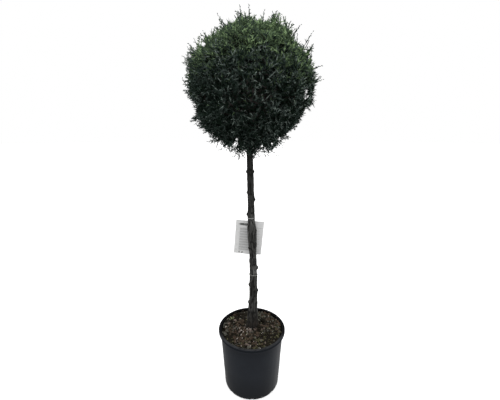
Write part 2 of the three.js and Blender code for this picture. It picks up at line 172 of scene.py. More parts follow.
BOUGH = Sizes(end=0.5, collar=1.25, taper=0.62, taper_power=0.7, bend_out=0.55, bend_up=0.35)
STEM = Sizes(end=0.7, straight=14, taper=0.7)
# where branches leave a stem, how far along they are drawn, and their radii at the foot and there
BRANCH = Sizes(earliest=0.1, latest=0.95, turned_back=0.85, drawn=0.9, foot=2.6, tip=0.9)
TWIG = Sizes(drawn=0.5, foot=1.3, tip=0.7)  # the bare lower part of a spray's axis
RINGS = [
    Sizes(name="lower", count=5, elevation=-24, turn=54, first_height=-92, height_step=10, radius=6.6),
    Sizes(name="upper", count=4, elevation=32, turn=50, first_height=-36, height_step=13, radius=6),
]
SPRIG = Sizes(
    count=184,
    seed=100,
    root=0.7,
    reach=0.97,
    reach_spread=0.07,
    lean=0.22,
    shoot_every=6,
    shoot_reach=0.3,
    shoot_lowest=-0.3,
    shoot_aside=0.45,
    shoot_front=0.2,
    slim_reach=1.15,
    spray_foot=0.45,  # its own spray's place on the branch, and where that bends
    spray_bend=0.75,
    copy_reach=0.8,  # how far the copies of that spray reach, and how many bows they stand aside
    copy_aside=0.7,
)
# shoots that stand out to the sides and on top: azimuth and elevation of the tip in degrees, reach, and how
# many degrees lower the foot stands
LONG_SHOOTS = np.array([
    [180, 82, 1.32, 0],
    [180, 88, 1.31, 0],
    [175, 66, 1.3, -6],
    [172, 51, 1.23, 0],
    [0, 81, 1.24, 0],
    [5, 73, 1.27, 0],
    [348, 52, 1.22, 0],
    [0, 44, 1.31, 28],
    [176, 27, 1.25, 6],
    [358, 19, 1.18, 4],
    [3, 9, 1.17, 5],
    [176, -2, 1.09, 8],
    [184, -28, 1.12, 0],
    [343, 34, 1.14, 20],
    [314, 66, 1.13, 0],
    [245, 69, 1.11, 0],
    [195, 19, 1.12, -10],
])
TRUNK_ROOM = 2  # between the bark and the sprays
WAIST = 0.34  # where a twiglet or blade is thickest, as a share of its length
# faces of a twiglet: point 0 is its root, 1 to 3 stand round its waist and 4 is its tip
SPINDLE_FACES = np.array([[0, 2, 1], [0, 3, 2], [0, 1, 3], [4, 1, 2], [4, 2, 3], [4, 3, 1]])
TAG = Sizes(
    width=113,
    height=148,
    thickness=0.8,
    corner=3,
    strap_height=732,
    drop=16,
    aside=-2.2,
    neck=9,
    neck_overlap=3,
    swing=4.8,  # in degrees
    lean=4.8,  # in degrees
    curl=2.4,
    ripple=0.9,
    ripple_length=38,
    ripple_slant=1.4,
)
BAND = Sizes(
    height=2.4,
    thickness=1.4,
    slack=0.9,
    squareness=6,
    tilt=3,
    tilt_turn=0.2,
    ripple=0.5,
    ripples=3,
    ripple_height=90,
    columns=72,
    corners=16,
)
TIE_HEIGHT = 491
RING_HEIGHT = 572  # of an old tie's pale mark
# the photograph's camera, from a fit to the pot's rim and base and to the trunk
CAMERA = Sizes(place=(-7.6, -1059, 1049), pitch=12.91, focal_pixels=284.2, width_pixels=500, sensor=36)


# Sums on whole arrays

def unit(vectors):
    """Vectors scaled to length 1."""
    return vectors / np.linalg.norm(vectors, axis=-1, keepdims=True)


def mix(a, b, share):
    """The point that share of the way from a to b."""
    return a + (b - a) * share


def ease(value, low, high):
    """0 below low, 1 above high, and a smooth S between them."""
    t = np.clip((value - low) / (high - low), 0, 1)
    return t * t * (3 - 2 * t)


def direction_of(azimuth, elevation):
    """Unit vectors at an azimuth from +X and an elevation, in radians."""
    flat = np.cos(elevation)
    return np.stack([flat * np.cos(azimuth), flat * np.sin(azimuth), np.sin(elevation)], axis=-1)


def full_turn(count):
    """Even angles once round, without the last, which is the first again."""
    return np.linspace(0, 2 * np.pi, count, endpoint=False)


def round_axis(radius, angle, height):
    """Points at a radius, an angle and a height round the z axis."""
    return np.stack(np.broadcast_arrays(radius * np.cos(angle), radius * np.sin(angle), height), axis=-1)


def spread_directions(count):
    """Even directions over the whole ball: heights fall in even steps, each turned by the golden angle."""
    i = np.arange(count)
    return direction_of(i * GOLDEN_ANGLE, np.arcsin(1 - 2 * (i + 0.5) / count))


def lattice_value(places, seed):
    """A fixed number from 0 to 1 for each whole-number place, whose coordinates are stirred as integers."""
    x, y, z = np.moveaxis(places.astype(np.uint64), -1, 0)
    stirred = (x * 73856093) ^ (y * 19349663) ^ (z * 83492791) ^ np.uint64(seed * 2654435761)
    stirred = (stirred & 0xFFFFFFFF) * 1274126177
    stirred = (stirred ^ (stirred >> np.uint64(15))) & 0xFFFF
    return stirred / 0xFFFF


def noise(points, size, seed):
    """Smooth noise from 0 to 1: the values of the eight lattice places round a point, blended by an S-curve
    along each axis. size is the lattice's spacing, one for all axes or one for each."""
    scaled = points / np.asarray(size, float) + 1000
    low = np.floor(scaled)
    part = scaled - low
    part = part * part * (3 - 2 * part)
    total = np.zeros(points.shape[:-1])
    for corner in np.ndindex(2, 2, 2):
        weight = np.prod(np.where(corner, part, 1 - part), axis=-1)
        total += weight * lattice_value(low + np.array(corner), seed)
    return total


def bent(start, control, end, t):
    """Points at t from 0 to 1 on the quadratic curve from start to end that control pulls on."""
    t = np.asarray(t, float)[..., None]
    return (1 - t) ** 2 * start + 2 * t * (1 - t) * control + t ** 2 * end


def bent_heading(start, control, end, t):
    """Unit tangents of the same curve."""
    t = np.asarray(t, float)[..., None]
    return unit((1 - t) * (control - start) + t * (end - control))


def beside(along, turn):
    """Unit vectors square to each direction, turned about it by an angle."""
    across = unit(np.cross(along, ASKEW))
    other = np.cross(along, across)
    turn = np.asarray(turn)[..., None]
    return np.cos(turn) * across + np.sin(turn) * other


# Meshes

def grid_faces(rows, columns, closed_columns=True, closed_rows=False):
    """Four-cornered faces of a grid of points kept row by row. A closed direction joins up its ends."""
    row, column = np.meshgrid(
        np.arange(rows if closed_rows else rows - 1),
        np.arange(columns if closed_columns else columns - 1),
        indexing="ij",
    )
    next_row = (row + 1) % rows
    next_column = (column + 1) % columns
    corners = [(row, column), (row, next_column), (next_row, next_column), (next_row, column)]
    return np.stack([down * columns + across for down, across in corners], axis=-1).reshape(-1, 4)


def fan(ring, pole, outwards):
    """Three-cornered faces from a ring of points to one pole. outwards says which way round it runs."""
    ring = np.asarray(ring)
    after = np.roll(ring, -1)
    pair = [ring, after] if outwards else [after, ring]
    return np.stack([*pair, np.full(len(ring), pole)], axis=-1)


def capped_faces(rows, columns):
    """Faces of a grid that is closed round its columns, with fans from its first and its last row to two
    poles, whose points come after the grid's."""
    ring = np.arange(columns)
    last_ring = ring + (rows - 1) * columns
    pole = rows * columns
    return [grid_faces(rows, columns), fan(ring, pole, False), fan(last_ring, pole + 1, True)]


def repeated(own_faces, count, points_each):
    """One shape's arrays of faces, repeated for a count of shapes that have so many points each."""
    first = np.arange(count)[:, None, None] * points_each
    return [(each[None] + first).reshape(-1, each.shape[1]) for each in own_faces]


def add_piece(name, points, faces, material, replaced=(), crease=None, attribute=None, uv=None):
    """A mesh piece from points in millimetres and arrays of faces. It rides on the one body and stands for
    the replaced nodes. Edges sharper than crease, in degrees, stay sharp. attribute and uv are kept point
    by point."""
    corners = np.concatenate([each.ravel() for each in faces]).astype(np.int32)
    counts = np.concatenate([np.full(len(each), each.shape[1]) for each in faces])
    starts = (np.cumsum(counts) - counts).astype(np.int32)
    mesh = bpy.data.meshes.new(name)
    mesh.vertices.add(len(points))
    mesh.vertices.foreach_set("co", np.ascontiguousarray(points * MM, np.float32).ravel())
    mesh.loops.add(len(corners))
    mesh.loops.foreach_set("vertex_index", corners)
    mesh.polygons.add(len(counts))
    mesh.polygons.foreach_set("loop_start", starts)
    mesh.polygons.foreach_set("use_smooth", np.full(len(counts), crease != 0))
    mesh.update(calc_edges=True)
    if crease:
        mesh.set_sharp_from_angle(angle=np.radians(crease))
    if attribute is not None:
        mesh.attributes.new("mark", "FLOAT", "POINT").data.foreach_set("value", attribute.astype(np.float32))
    if uv is not None:
        mesh.uv_layers.new(name="UVMap").data.foreach_set("uv", uv[corners].astype(np.float32).ravel())
    mesh.materials.append(material)
    made = bpy.data.objects.new(name, mesh)
    bpy.context.scene.collection.objects.link(made)
    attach(made, "root")
    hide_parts(*replaced)
    return made


def limbs(paths, radii, sides):
    """Round limbs, each closed by a flat foot and a pointed tip: a regular polygon of the given radii
    carried along each path. paths is limbs x stations x 3, and radii is limbs x stations."""
    count, stations, _ = paths.shape
    along = unit(np.gradient(paths, axis=1))
    out = beside(along[:, :, None, :], np.broadcast_to(full_turn(sides), (count, stations, sides)))
    rings = paths[:, :, None, :] + radii[:, :, None, None] * out
    tips = paths[:, -1] + along[:, -1] * radii[:, -1:]
    points = np.concatenate([rings.reshape(count, -1, 3), tips[:, None]], axis=1)
    last = (stations - 1) * sides
    foot = np.arange(sides)[::-1][None]
    own = [grid_faces(stations, sides), fan(np.arange(last, last + sides), stations * sides, True), foot]
    return points.reshape(-1, 3), repeated(own, count, points.shape[1])


def spindles(roots, tips, radii):
    """Slim leafy twiglets with three sides: from root to tip, thickest at the waist."""
    count = len(roots)
    along = unit(tips - roots)
    out = beside(along[:, None, :], np.broadcast_to(full_turn(3), (count, 3)))
    ring = mix(roots, tips, WAIST)[:, None] + radii[:, None, None] * out
    points = np.concatenate([roots[:, None], ring, tips[:, None]], axis=1)
    return points.reshape(-1, 3), repeated([SPINDLE_FACES], count, points.shape[1])


# Shader maths

class Wire:
    """A shader socket in an expression. Operators on values add Math nodes, and node() adds any other."""

    def __init__(self, tree, socket=None):
        self.tree = tree
        self.socket = socket

    def node(self, kind, settings=None, inputs=None, output=0):
        """A node of the given kind: its settings are set first, then its sockets get values or links."""
        made = self.tree.nodes.new(kind)
        for name, value in (settings or {}).items():
            setattr(made, name, value)
        for name, value in (inputs or {}).items():
            if isinstance(value, Wire):
                self.tree.links.new(value.socket, made.inputs[name])
            else:
                made.inputs[name].default_value = value
        return Wire(self.tree, made.outputs[output] if made.outputs else None)

    def math(self, operation, first, second=0.0):
        """A Math node on one or two values."""
        return self.node("ShaderNodeMath", {"operation": operation}, {0: first, 1: second})

    def __add__(self, other):
        return self.math("ADD", self, other)

    def __radd__(self, other):
        return self.math("ADD", other, self)

    def __sub__(self, other):
        return self.math("SUBTRACT", self, other)

    def __rsub__(self, other):
        return self.math("SUBTRACT", other, self)

    def __mul__(self, other):
        return self.math("MULTIPLY", self, other)

    def __rmul__(self, other):
        return self.math("MULTIPLY", other, self)

    def __gt__(self, other):
        return self.math("GREATER_THAN", self, other)

    def __lt__(self, other):
        return self.math("LESS_THAN", self, other)


def opaque(colour):
    """A colour with full alpha."""
    return (*colour, 1.0)


def blend(share, a, b):
    """A colour between a and b, each a wire or a plain colour."""
    ends = {6: a if isinstance(a, Wire) else opaque(a), 7: b if isinstance(b, Wire) else opaque(b)}
    return share.node("ShaderNodeMix", {"data_type": "RGBA"}, {0: share, **ends}, 2)


def stepped(value, low, high):
    """0 below low and 1 above high, with a smooth S between them."""
    limits = {"From Min": low, "From Max": high}
    return value.node("ShaderNodeMapRange", {"interpolation_type": "SMOOTHSTEP"}, {"Value": value, **limits})


def between(value, span):
    """The same step over a span in millimetres, of a value in metres."""
    low, high = span
    return stepped(value, low * MM, high * MM)


def part_of(vector, index):
    """One coordinate of a vector."""
    return vector.node("ShaderNodeSeparateXYZ", {}, {0: vector}, index)


def mark_of(start):
    """The mark that the mesh carries point by point."""
    return start.node("ShaderNodeAttribute", {"attribute_name": "mark"}, output="Fac")


def place_of(start, stretch=(1, 1, 1)):
    """Object coordinates, squeezed along each axis."""
    here = start.node("ShaderNodeTexCoord", output="Object")
    return start.node("ShaderNodeMapping", {}, {"Vector": here, "Scale": stretch})


def speckle(place, scale, detail=3.0, rough=0.55):
    """Noise from 0 to 1, with the given number of blotches to a metre."""
    inputs = {"Vector": place, "Scale": scale, "Detail": detail, "Roughness": rough}
    return place.node("ShaderNodeTexNoise", {}, inputs)


def bumped(height, distance, strength=1.0):
    """A normal that follows a height, whose full range is a distance in metres."""
    return height.node("ShaderNodeBump", {}, {"Height": height, "Distance": distance, "Strength": strength})


def finish(name, inputs_of):
    """A material whose Principled shader takes the inputs that inputs_of works out."""
    made = bpy.data.materials.new(name)
    made.use_nodes = True
    made.node_tree.nodes.clear()
    start = Wire(made.node_tree)
    shader = start.node("ShaderNodeBsdfPrincipled", {}, inputs_of(start))
    start.node("ShaderNodeOutputMaterial", {}, {"Surface": shader})
    return made


# Finishes

# spans in millimetres over which a finish changes: up the pot, up the lip or to its front, and up the trunk
POT_SPANS = Sizes(dusty=(2, 20), foot=(-20, 150), shaded=(190, 225), dulled=(226, 240))
LIP_SPANS = Sizes(edge=(241, 244.5), top=(250, 251.5), front=(50, 110), worn=(30, 80))
BARK_SPANS = Sizes(soiled=(280, 365), rubbed=(560, 620), unrubbed=(720, 780), young=(740, 940), ring=(0.8, 2))


def pot_plastic(start):
    """Blue-black moulded plastic: faint cloudy mottling, upright scuffs and dust by the foot. It is painted
    darker high up and towards the foot, as painted shade, and lighter in a band right under the lip, as
    painted light against the shade there."""
    place = place_of(start)
    clouds = speckle(place, 14)
    scuffs = speckle(place_of(start, (1, 1, 0.12)), 90, 5)
    grain = speckle(place, 1400, 1)
    height = part_of(place, 2)
    dust = (1 - between(height, POT_SPANS.dusty)) * stepped(clouds + scuffs, 0.85, 1.3) * 0.3
    weathered = blend(stepped(clouds, 0.3, 0.7), (0.0125, 0.0158, 0.022), (0.0155, 0.0192, 0.026))
    # painted shade: the wall is darker high up, under the lip
    shaded = blend(between(height, POT_SPANS.shaded) * 0.8, weathered, (0.0095, 0.0122, 0.0175))
    # painted light: a lighter band right under the lip, against the shade that the lip casts
    dulled = blend(between(height, POT_SPANS.dulled), shaded, (0.023, 0.027, 0.0345))
    # painted shade: darker towards the foot
    plastic = blend(between(height, POT_SPANS.foot), (0.0055, 0.0068, 0.0095), dulled)
    return {
        "Base Color": blend(dust, plastic, (0.03, 0.029, 0.028)),
        "Roughness": 0.4 + 0.14 * scuffs + 0.3 * dust,
        "Specular IOR Level": 0.3,
        "Normal": bumped(clouds * 0.8 + scuffs * 0.12 + grain * 0.1, 0.0012, 0.5),
    }


def lip_plastic(start):
    """The same plastic, with painted light and shade: the face is pale at the sides and painted darker at the
    front, with a lighter lower edge painted against the shade under the lip. The mark picks out the top
    and the inside, painted near black as shade, with a patchy painted highlight on top at the front."""
    place = place_of(start)
    clouds = speckle(place, 60, 4)
    back = part_of(place, 1)
    height = part_of(place, 2)
    front = between(-1 * back, LIP_SPANS.front)
    # painted highlight: the top of the lip is pale in patches at the front
    worn = between(-1 * back, LIP_SPANS.worn) * between(height, LIP_SPANS.top) * stepped(clouds, 0.1, 0.6)
    # painted shade: the top and the inside of the lip are near black
    top = blend(worn, (0.002, 0.002, 0.0022), (0.028, 0.029, 0.031))
    # painted light: the face's lower edge is lighter at the front, against the shade under the lip
    rubbed = blend(between(height, LIP_SPANS.edge), (0.023, 0.0265, 0.033), (0.0145, 0.0168, 0.021))
    # painted shade: the face is darker at the front than at the sides
    face = blend(front, (0.027, 0.03, 0.036), rubbed)
    return {
        "Base Color": blend(stepped(mark_of(start), 0.3, 0.7), face, top),
        "Roughness": 0.6 + 0.2 * clouds,
        "Specular IOR Level": 0.04,
        "Normal": bumped(clouds, 0.0008, 0.4),
    }


def mulch(dark, pale):
    """Weathered bark: blotches between two colours, with a fibrous grain."""
    def inputs_of(start):
        blotches = speckle(place_of(start), 160, 4)
        fibres = speckle(place_of(start, (1, 1, 0.3)), 700, 3)
        return {
            "Base Color": blend(stepped(blotches * 0.65 + fibres * 0.35, 0.32, 0.68), dark, pale),
            "Roughness": 0.75 + 0.2 * fibres,
            "Specular IOR Level": 0.12,
            "Normal": bumped(fibres, 0.0008, 0.6),
        }
    return inputs_of


def bark(start):
    """Grey bark: dark furrows, paler ridges with grey patches and upright streaks, a pale ring, a paler band
    where the tag hangs, darker high up on the young wood as painted shade of the crown, and brown with soil
    at the foot."""
    streaks = speckle(place_of(start, (1, 1, 0.09)), 260, 4)
    patches = speckle(place_of(start, (1, 1, 0.4)), 42, 4)
    grain = speckle(place_of(start, (1, 1, 0.3)), 1500, 2)
    height = part_of(place_of(start), 2)
    ridge = blend(stepped(streaks, 0.36, 0.64), (0.017, 0.017, 0.0155), (0.075, 0.075, 0.07))
    worn = blend(stepped(patches, 0.5, 0.68), ridge, (0.125, 0.125, 0.12))
    from_ring = start.math("ABSOLUTE", height + 0.004 * streaks - RING_HEIGHT * MM - 0.002)
    ringed = blend((1 - between(from_ring, BARK_SPANS.ring)) * 0.7, worn, (0.16, 0.16, 0.15))
    # a paler band between the heights where the tag hangs
    rubbed = between(height, BARK_SPANS.rubbed) * (1 - between(height, BARK_SPANS.unrubbed)) * 0.25
    pale = blend(rubbed, ringed, (0.15, 0.15, 0.143))
    # painted shade of the crown: darker high up on the young wood under it
    young = blend(between(height, BARK_SPANS.young) * 0.78, pale, (0.009, 0.0095, 0.0075))
    soil = (1 - between(height + 0.03 * patches, BARK_SPANS.soiled)) * 0.88
    soiled = blend(soil, young, (0.019, 0.0148, 0.011))
    return {
        "Base Color": blend(stepped(mark_of(start), 0.3, 0.7), (0.006, 0.006, 0.005), soiled),
        "Roughness": 0.72 + 0.2 * grain,
        "Specular IOR Level": 0.25,
        "Normal": bumped(grain * 0.6 + streaks * 0.4, 0.0005, 0.7),
    }


# print on the card, in shares of its width and height: a grey panel, some of its sides soft, a block of close
# lines, and generic rules by left, right, low, high and strength
PANEL = Sizes(left=(0.14, 0.19), right=0.56, low=(0.09, 0.13), high=(0.76, 0.82), line=0.35)
LINES = Sizes(left=0.62, right=0.88, low=0.07, high=0.74, count=13, line=0.3)
RULES = [
    (0.09, 0.2, 0.875, 0.9, 0.5),
    (0.14, 0.49, 0.853, 0.918, 1.5),
    (0.02, 0.12, 0.11, 0.13, 0.3),
    (0.17, 0.22, 0.03, 0.08, 0.85),
    (0.27, 0.33, 0.02, 0.07, 0.85),
    (0.6, 0.98, 0.785, 0.805, 0.3),
    (0.78, 0.96, 0.01, 0.04, 0.25),
]


def within(across, up, left, right, low, high):
    """1 inside a rectangle on the card, and 0 outside it."""
    return (across > left) * (across < right) * (up > low) * (up < high)


def ruled_card(start):
    """Pale plastic card with a grey panel of close lines and generic rules, lightly weathered."""
    uv = start.node("ShaderNodeTexCoord", output="UV")
    across = part_of(uv, 0)
    up = part_of(uv, 1)
    grime = speckle(place_of(start), 60, 5)
    ink = speckle(place_of(start, (1, 1, 0.4)), 420, 3)
    panel = stepped(across, *PANEL.left) * (across < PANEL.right)
    panel = panel * stepped(up, *PANEL.low) * (1 - stepped(up, *PANEL.high))
    line_place = start.math("FRACT", up * LINES.count)
    lines = within(across, up, LINES.left, LINES.right, LINES.low, LINES.high) * (line_place < LINES.line)
    faded = stepped(ink, 0.3, 0.62)
    print_share = panel * (0.14 + 0.14 * faded + 0.18 * (line_place > PANEL.line)) + lines * faded * 0.22
    for left, right, low, high, strength in RULES:
        rule = within(across, up, left, right, low, high)
        print_share = print_share + rule * strength * (0.3 + 0.7 * faded)
    card = blend(stepped(grime, 0.45, 0.8), (0.98, 0.985, 0.98), (0.88, 0.88, 0.865))
    return {
        "Base Color": blend(print_share, card, (0.12, 0.125, 0.12)),
        "Roughness": 0.42 + 0.2 * grime,
        "Normal": bumped(grime, 0.0004, 0.4),
    }


def soft_tie(pale):
    """Weathered soft plastic in one pale tone, with grime in patches."""
    def inputs_of(start):
        grime = speckle(place_of(start), 240, 4)
        dirty = tuple(0.45 * each for each in pale)
        return {
            "Base Color": blend(stepped(grime, 0.4, 0.75), pale, dirty),
            "Roughness": 0.5 + 0.25 * grime,
            "Normal": bumped(grime, 0.0003, 0.5),
        }
    return inputs_of


def plain(colour, roughness):
    """One plain colour, for sprays and twigs that get their shade spray by spray."""
    def inputs_of(start):
        return {"Base Color": opaque(colour), "Roughness": roughness, "Specular IOR Level": 0.1}
    return inputs_of


def paper(start):
    """Plain pale floor that glows a little, so that it looks as white as the sky behind it."""
    white = opaque(FLOOR.white)
    glow = {"Emission Color": white, "Emission Strength": FLOOR.glow}
    return {"Base Color": white, "Roughness": 0.95, "Specular IOR Level": 0.0, **glow}


# Pot

def pot_outer(z):
    """The wall's outer radius at a height: a straight taper from the base to the shoulder."""
    return POT.base + (POT.shoulder - POT.base) * z / (POT.height - LIP.height)


def pot_inner(z):
    """The wall's inner radius at a height."""
    return pot_outer(z) - POT.wall


def outline(*stretches):
    """Points of an outline, from stretches that are each a list of points or an array."""
    return np.concatenate([np.asarray(each, float).reshape(-1, 2) for each in stretches])


def round_stretch(start, corner, end, count):
    """Points of a round stretch from start to end, pulled towards a corner."""
    ends = [np.array(each, float) for each in (start, corner, end)]
    return bent(*ends, np.linspace(0, 1, count))


def pot_foot(slotted):
    """The foot's outline from the slots' ends to the wall: rounded, or cut square where a slot runs."""
    inside = POT.base - POT.slot_depth
    wall = (pot_outer(POT.foot), POT.foot)
    if slotted:
        roof = POT.slot_height
        over = np.linspace((inside, roof), (pot_outer(roof), roof), 5)
        return outline([(inside, 0), (inside, roof / 2)], over, [wall])
    return outline([(inside, 0)], round_stretch((POT.base - POT.foot, 0), (POT.base, 0), wall, 7))


def pot_upper():
    """The outline from the wall up to an edge that the lip hides, and down the inside to the floor."""
    edge = POT.height - LIP.height + LIP.overlap
    inside = POT.base - POT.slot_depth - POT.floor
    return outline(
        np.linspace((pot_outer(POT.foot), POT.foot), (pot_outer(edge), edge), 40)[1:],
        np.linspace((pot_inner(edge), edge), (pot_inner(SOIL.bottom), SOIL.bottom), 8),
        [(inside, POT.slot_height + POT.floor), (inside, POT.floor)],
    )


def lip_outline():
    """The lip's closed outline: out from the wall, up its face, over its top, down inside the wall and back
    through it. With it goes each point's mark: 0 on the face, and 1 on the top and inside."""
    low = POT.height - LIP.height
    top = POT.rim - LIP.edge
    mouth = pot_inner(POT.height) - LIP.lining
    depth = POT.height - LIP.depth
    foot = (POT.shoulder - LIP.bite, low - LIP.under)
    inner_edge = [(mouth + LIP.mouth, POT.height), (mouth, POT.height), (mouth, POT.height - LIP.mouth)]
    face = outline(
        round_stretch(foot, (POT.rim - LIP.soft, low - LIP.soft), (POT.rim - LIP.draft, low + LIP.belly), 8),
        round_stretch((POT.rim, POT.height - LIP.edge), (POT.rim, POT.height), (top, POT.height), 7),
    )
    over = outline(
        np.linspace((top - LIP.seam, POT.height), inner_edge[0], 4),
        round_stretch(*inner_edge, 5)[1:],
        [(pot_inner(depth) - LIP.lining, depth), (pot_inner(depth) + LIP.bite, depth)],
    )
    return outline(face, over), np.repeat([0.0, 1.0], [len(face), len(over)])


def pot_lip():
    """A turned ring that caps the wall: its closed outline carried round the axis."""
    profile, mark = lip_outline()
    angles = full_turn(POT.columns)
    radius, height = profile.T[:, :, None]
    points = round_axis(radius, angles, height).reshape(-1, 3)
    faces = grid_faces(len(profile), len(angles), closed_rows=True)
    add_piece("pot_lip", points, [faces], finish("lip_plastic", lip_plastic), crease=POT.crease,
              attribute=np.repeat(mark, len(angles)))


def pot():
    """A turned shell: its outline, radius and height against the way along it, carried round the axis.
    Columns that cross a drain slot take the slotted foot, and the wall has a slight moulded wave."""
    half = POT.slot_width / 2 / POT.base
    pitch = 2 * np.pi / POT.slots
    slot_to_slot = np.linspace(half + POT.slot_edge, pitch - half - POT.slot_edge, POT.slot_columns)
    one_pitch = np.concatenate([[-half, half], slot_to_slot])
    angles = (FRONT + pitch * np.arange(POT.slots)[:, None] + one_pitch).ravel()
    slotted = np.tile(np.arange(len(one_pitch)) < 2, POT.slots)
    feet = np.where(slotted[None, :, None], pot_foot(True)[:, None], pot_foot(False)[:, None])
    upper = pot_upper()[:, None] + np.zeros((1, len(angles), 1))
    radius, height = np.moveaxis(np.concatenate([feet, upper]), -1, 0)
    by_lip = ease(height, POT.height - 2 * LIP.height, POT.height - LIP.height)
    wall = ease(height, POT.foot, 3 * POT.foot) * (1 - by_lip)
    wave = POT.wave * wall
    for count, twist in POT.waves:
        wave = wave * np.sin(count * angles + height / twist)
    radius = radius + wave
    points = round_axis(radius, angles, height).reshape(-1, 3)
    poles = np.array([[0, 0, 0], [0, 0, POT.floor]])
    add_piece("pot_shell", np.concatenate([points, poles]), capped_faces(*radius.shape),
              finish("pot_plastic", pot_plastic), ["pot"], crease=POT.crease)


# Potting mix and mulch

def ground_height(x, y):
    """The mulch's height: flat round the trunk, falling to the pot's wall, with low lumps between."""
    out = np.hypot(x, y)
    fall = ease(out, SOIL.flat, pot_inner(SOIL.edge))
    rough = ease(out, SOIL.flat, SOIL.flat + SOIL.rough) * (1 - fall ** 4)
    lumps = SOIL.lumps * np.sin(x / SOIL.lump_x + 1) * np.cos(y / SOIL.lump_y - x / SOIL.lump_skew)
    return mix(SOIL.ground, SOIL.edge, fall) + lumps * rough


def potting_mix():
    """A plug turned round the pot's axis. Its top follows the ground's height, with crumbs of noise."""
    edge = pot_inner(SOIL.edge) - GAP
    side = np.linspace((pot_inner(SOIL.bottom) - GAP, SOIL.bottom), (edge, SOIL.edge), 4)
    top = np.linspace((edge, SOIL.edge), (SOIL.inmost, SOIL.edge), 64)[1:]
    radius, height = outline(side, top).T[:, :, None]
    flat = round_axis(radius, full_turn(POT.columns), 0.0)
    x, y, _ = np.moveaxis(flat, -1, 0)
    crumbs = noise(flat, CRUMBS.broad, 3) + CRUMBS.fine_share * noise(flat, CRUMBS.fine, 4) - 1
    on_top = np.arange(len(radius))[:, None] >= len(side)
    z = np.where(on_top, ground_height(x, y) + CRUMBS.height * crumbs, height)
    points = np.stack([x, y, z], -1).reshape(-1, 3)
    poles = np.array([[0, 0, SOIL.bottom], [0, 0, z[-1].mean()]])
    soil = finish("potting_mix", mulch((0.003, 0.0025, 0.0012), (0.015, 0.012, 0.006)))
    add_piece("potting_mix", np.concatenate([points, poles]), capped_faces(*x.shape), soil, ["soil"])


# kinds of mulch: name, how many, length from and to, lift above the ground, homes where it gathers, and a
# dark and a pale colour
MULCH = [
    ("mulch_dark", 800, (10, 30), 0.8, [(43, 28), (-60, 70), (90, -75)],
     (0.003, 0.0025, 0.0015), (0.018, 0.014, 0.008)),
    ("mulch_brown", 210, (11, 32), 1.6, [(-47, -23), (-17, -67), (98, 35)],
     (0.009, 0.0065, 0.004), (0.08, 0.056, 0.038)),
    ("mulch_pink", 60, (8, 23), 2.4, [(-38, -34), (0, -52)],
     (0.04, 0.03, 0.024), (0.19, 0.15, 0.13)),
    ("mulch_grey", 190, (8, 24), 2.0, [(56, 87), (-116, 16)],
     (0.014, 0.014, 0.011), (0.128, 0.125, 0.103)),
    ("mulch_moss", 330, (5, 17), 2.2, [(69, -40), (30, -92)],
     (0.009, 0.009, 0.003), (0.115, 0.11, 0.058)),
    ("mulch_pale", 62, (5, 12), 3.0, [(-22, -30)],
     (0.2, 0.175, 0.15), (0.55, 0.5, 0.45)),
]
# how chips gather: the best of a few tries for each, by a noise, the kind's homes and a hollow by the trunk
PATCH = Sizes(choice=3, size=46, spread=0.34, home=50, pull=1.0, hollow=(44, 32), hollow_size=15, push=2)
CHIP = Sizes(
    width=(0.3, 0.75),  # as shares of its length, and so is the thickness
    thickness=(0.12, 0.32),
    corners=6,
    corner_turn=0.35,
    uneven=(0.75, 1.1),
    top=0.78,  # size of its upper ring
    rough=0.12,
    tilt=0.6,
    lift=(-1.2, 2.2),
    heap=3.5,  # how much higher chips lie along the wall
    heap_start=0.7,
    rim_room=4,
    wall_room=1,
    tucked=2,  # how far chips reach under the trunk's flare
)


def chip_places(count, homes, seed, rim):
    """Places of chips on the ground: of all tries over the disc, those where a noise is high or a home is
    near, but not in the hollow. Those on the trunk's foot are moved off it."""
    tries = PATCH.choice * count
    spread = np.sqrt(strewn.uniform(0, 1, tries))
    around = strewn.uniform(0, 2 * np.pi, tries)
    place = spread[:, None] * rim * np.stack([np.cos(around), np.sin(around)], -1)
    patch = noise(np.pad(place, ((0, 0), (0, 1))), PATCH.size, seed) + strewn.normal(0, PATCH.spread, tries)
    from_home = np.linalg.norm(place[:, None] - np.array(homes), axis=-1).min(axis=1)
    patch = patch + PATCH.pull * np.exp(-(from_home / PATCH.home) ** 2)
    from_hollow = np.linalg.norm(place - PATCH.hollow, axis=-1)
    patch = patch - PATCH.push * np.exp(-(from_hollow / PATCH.hollow_size) ** 2)
    place = place[np.argsort(-patch)[:count]]
    foot = np.array([TRUNK.x[0], TRUNK.y[0]])
    from_trunk = place - foot
    apart = np.linalg.norm(from_trunk, axis=1, keepdims=True)
    return foot + from_trunk * np.maximum(1, (TRUNK.foot + TRUNK.flare - CHIP.tucked) / apart)


def chip_shapes(count, lengths):
    """Flat chips with uneven corners, each about its own middle: two rings of points, the upper one
    smaller, tipped and turned at random."""
    size = (count, CHIP.corners)
    length = strewn.uniform(*lengths, count)[:, None]
    width = length * strewn.uniform(*CHIP.width, (count, 1))
    thickness = length * strewn.uniform(*CHIP.thickness, (count, 1))
    corner = full_turn(CHIP.corners) + strewn.uniform(-CHIP.corner_turn, CHIP.corner_turn, size)
    uneven = strewn.uniform(*CHIP.uneven, size)
    rings = []
    for level, share in ((-0.5, 1.0), (0.5, CHIP.top)):
        along = length / 2 * uneven * share * np.cos(corner)
        across = width / 2 * uneven * share * np.sin(corner)
        up = thickness * (level + strewn.uniform(-CHIP.rough, CHIP.rough, size))
        rings.append(np.stack([along, across, up], -1))
    normal = unit(np.concatenate([strewn.normal(0, CHIP.tilt, (count, 2)), np.ones((count, 1))], axis=1))
    heading = beside(normal, strewn.uniform(0, 2 * np.pi, count))
    return np.concatenate(rings, axis=1) @ np.stack([heading, np.cross(normal, heading), normal], axis=1)


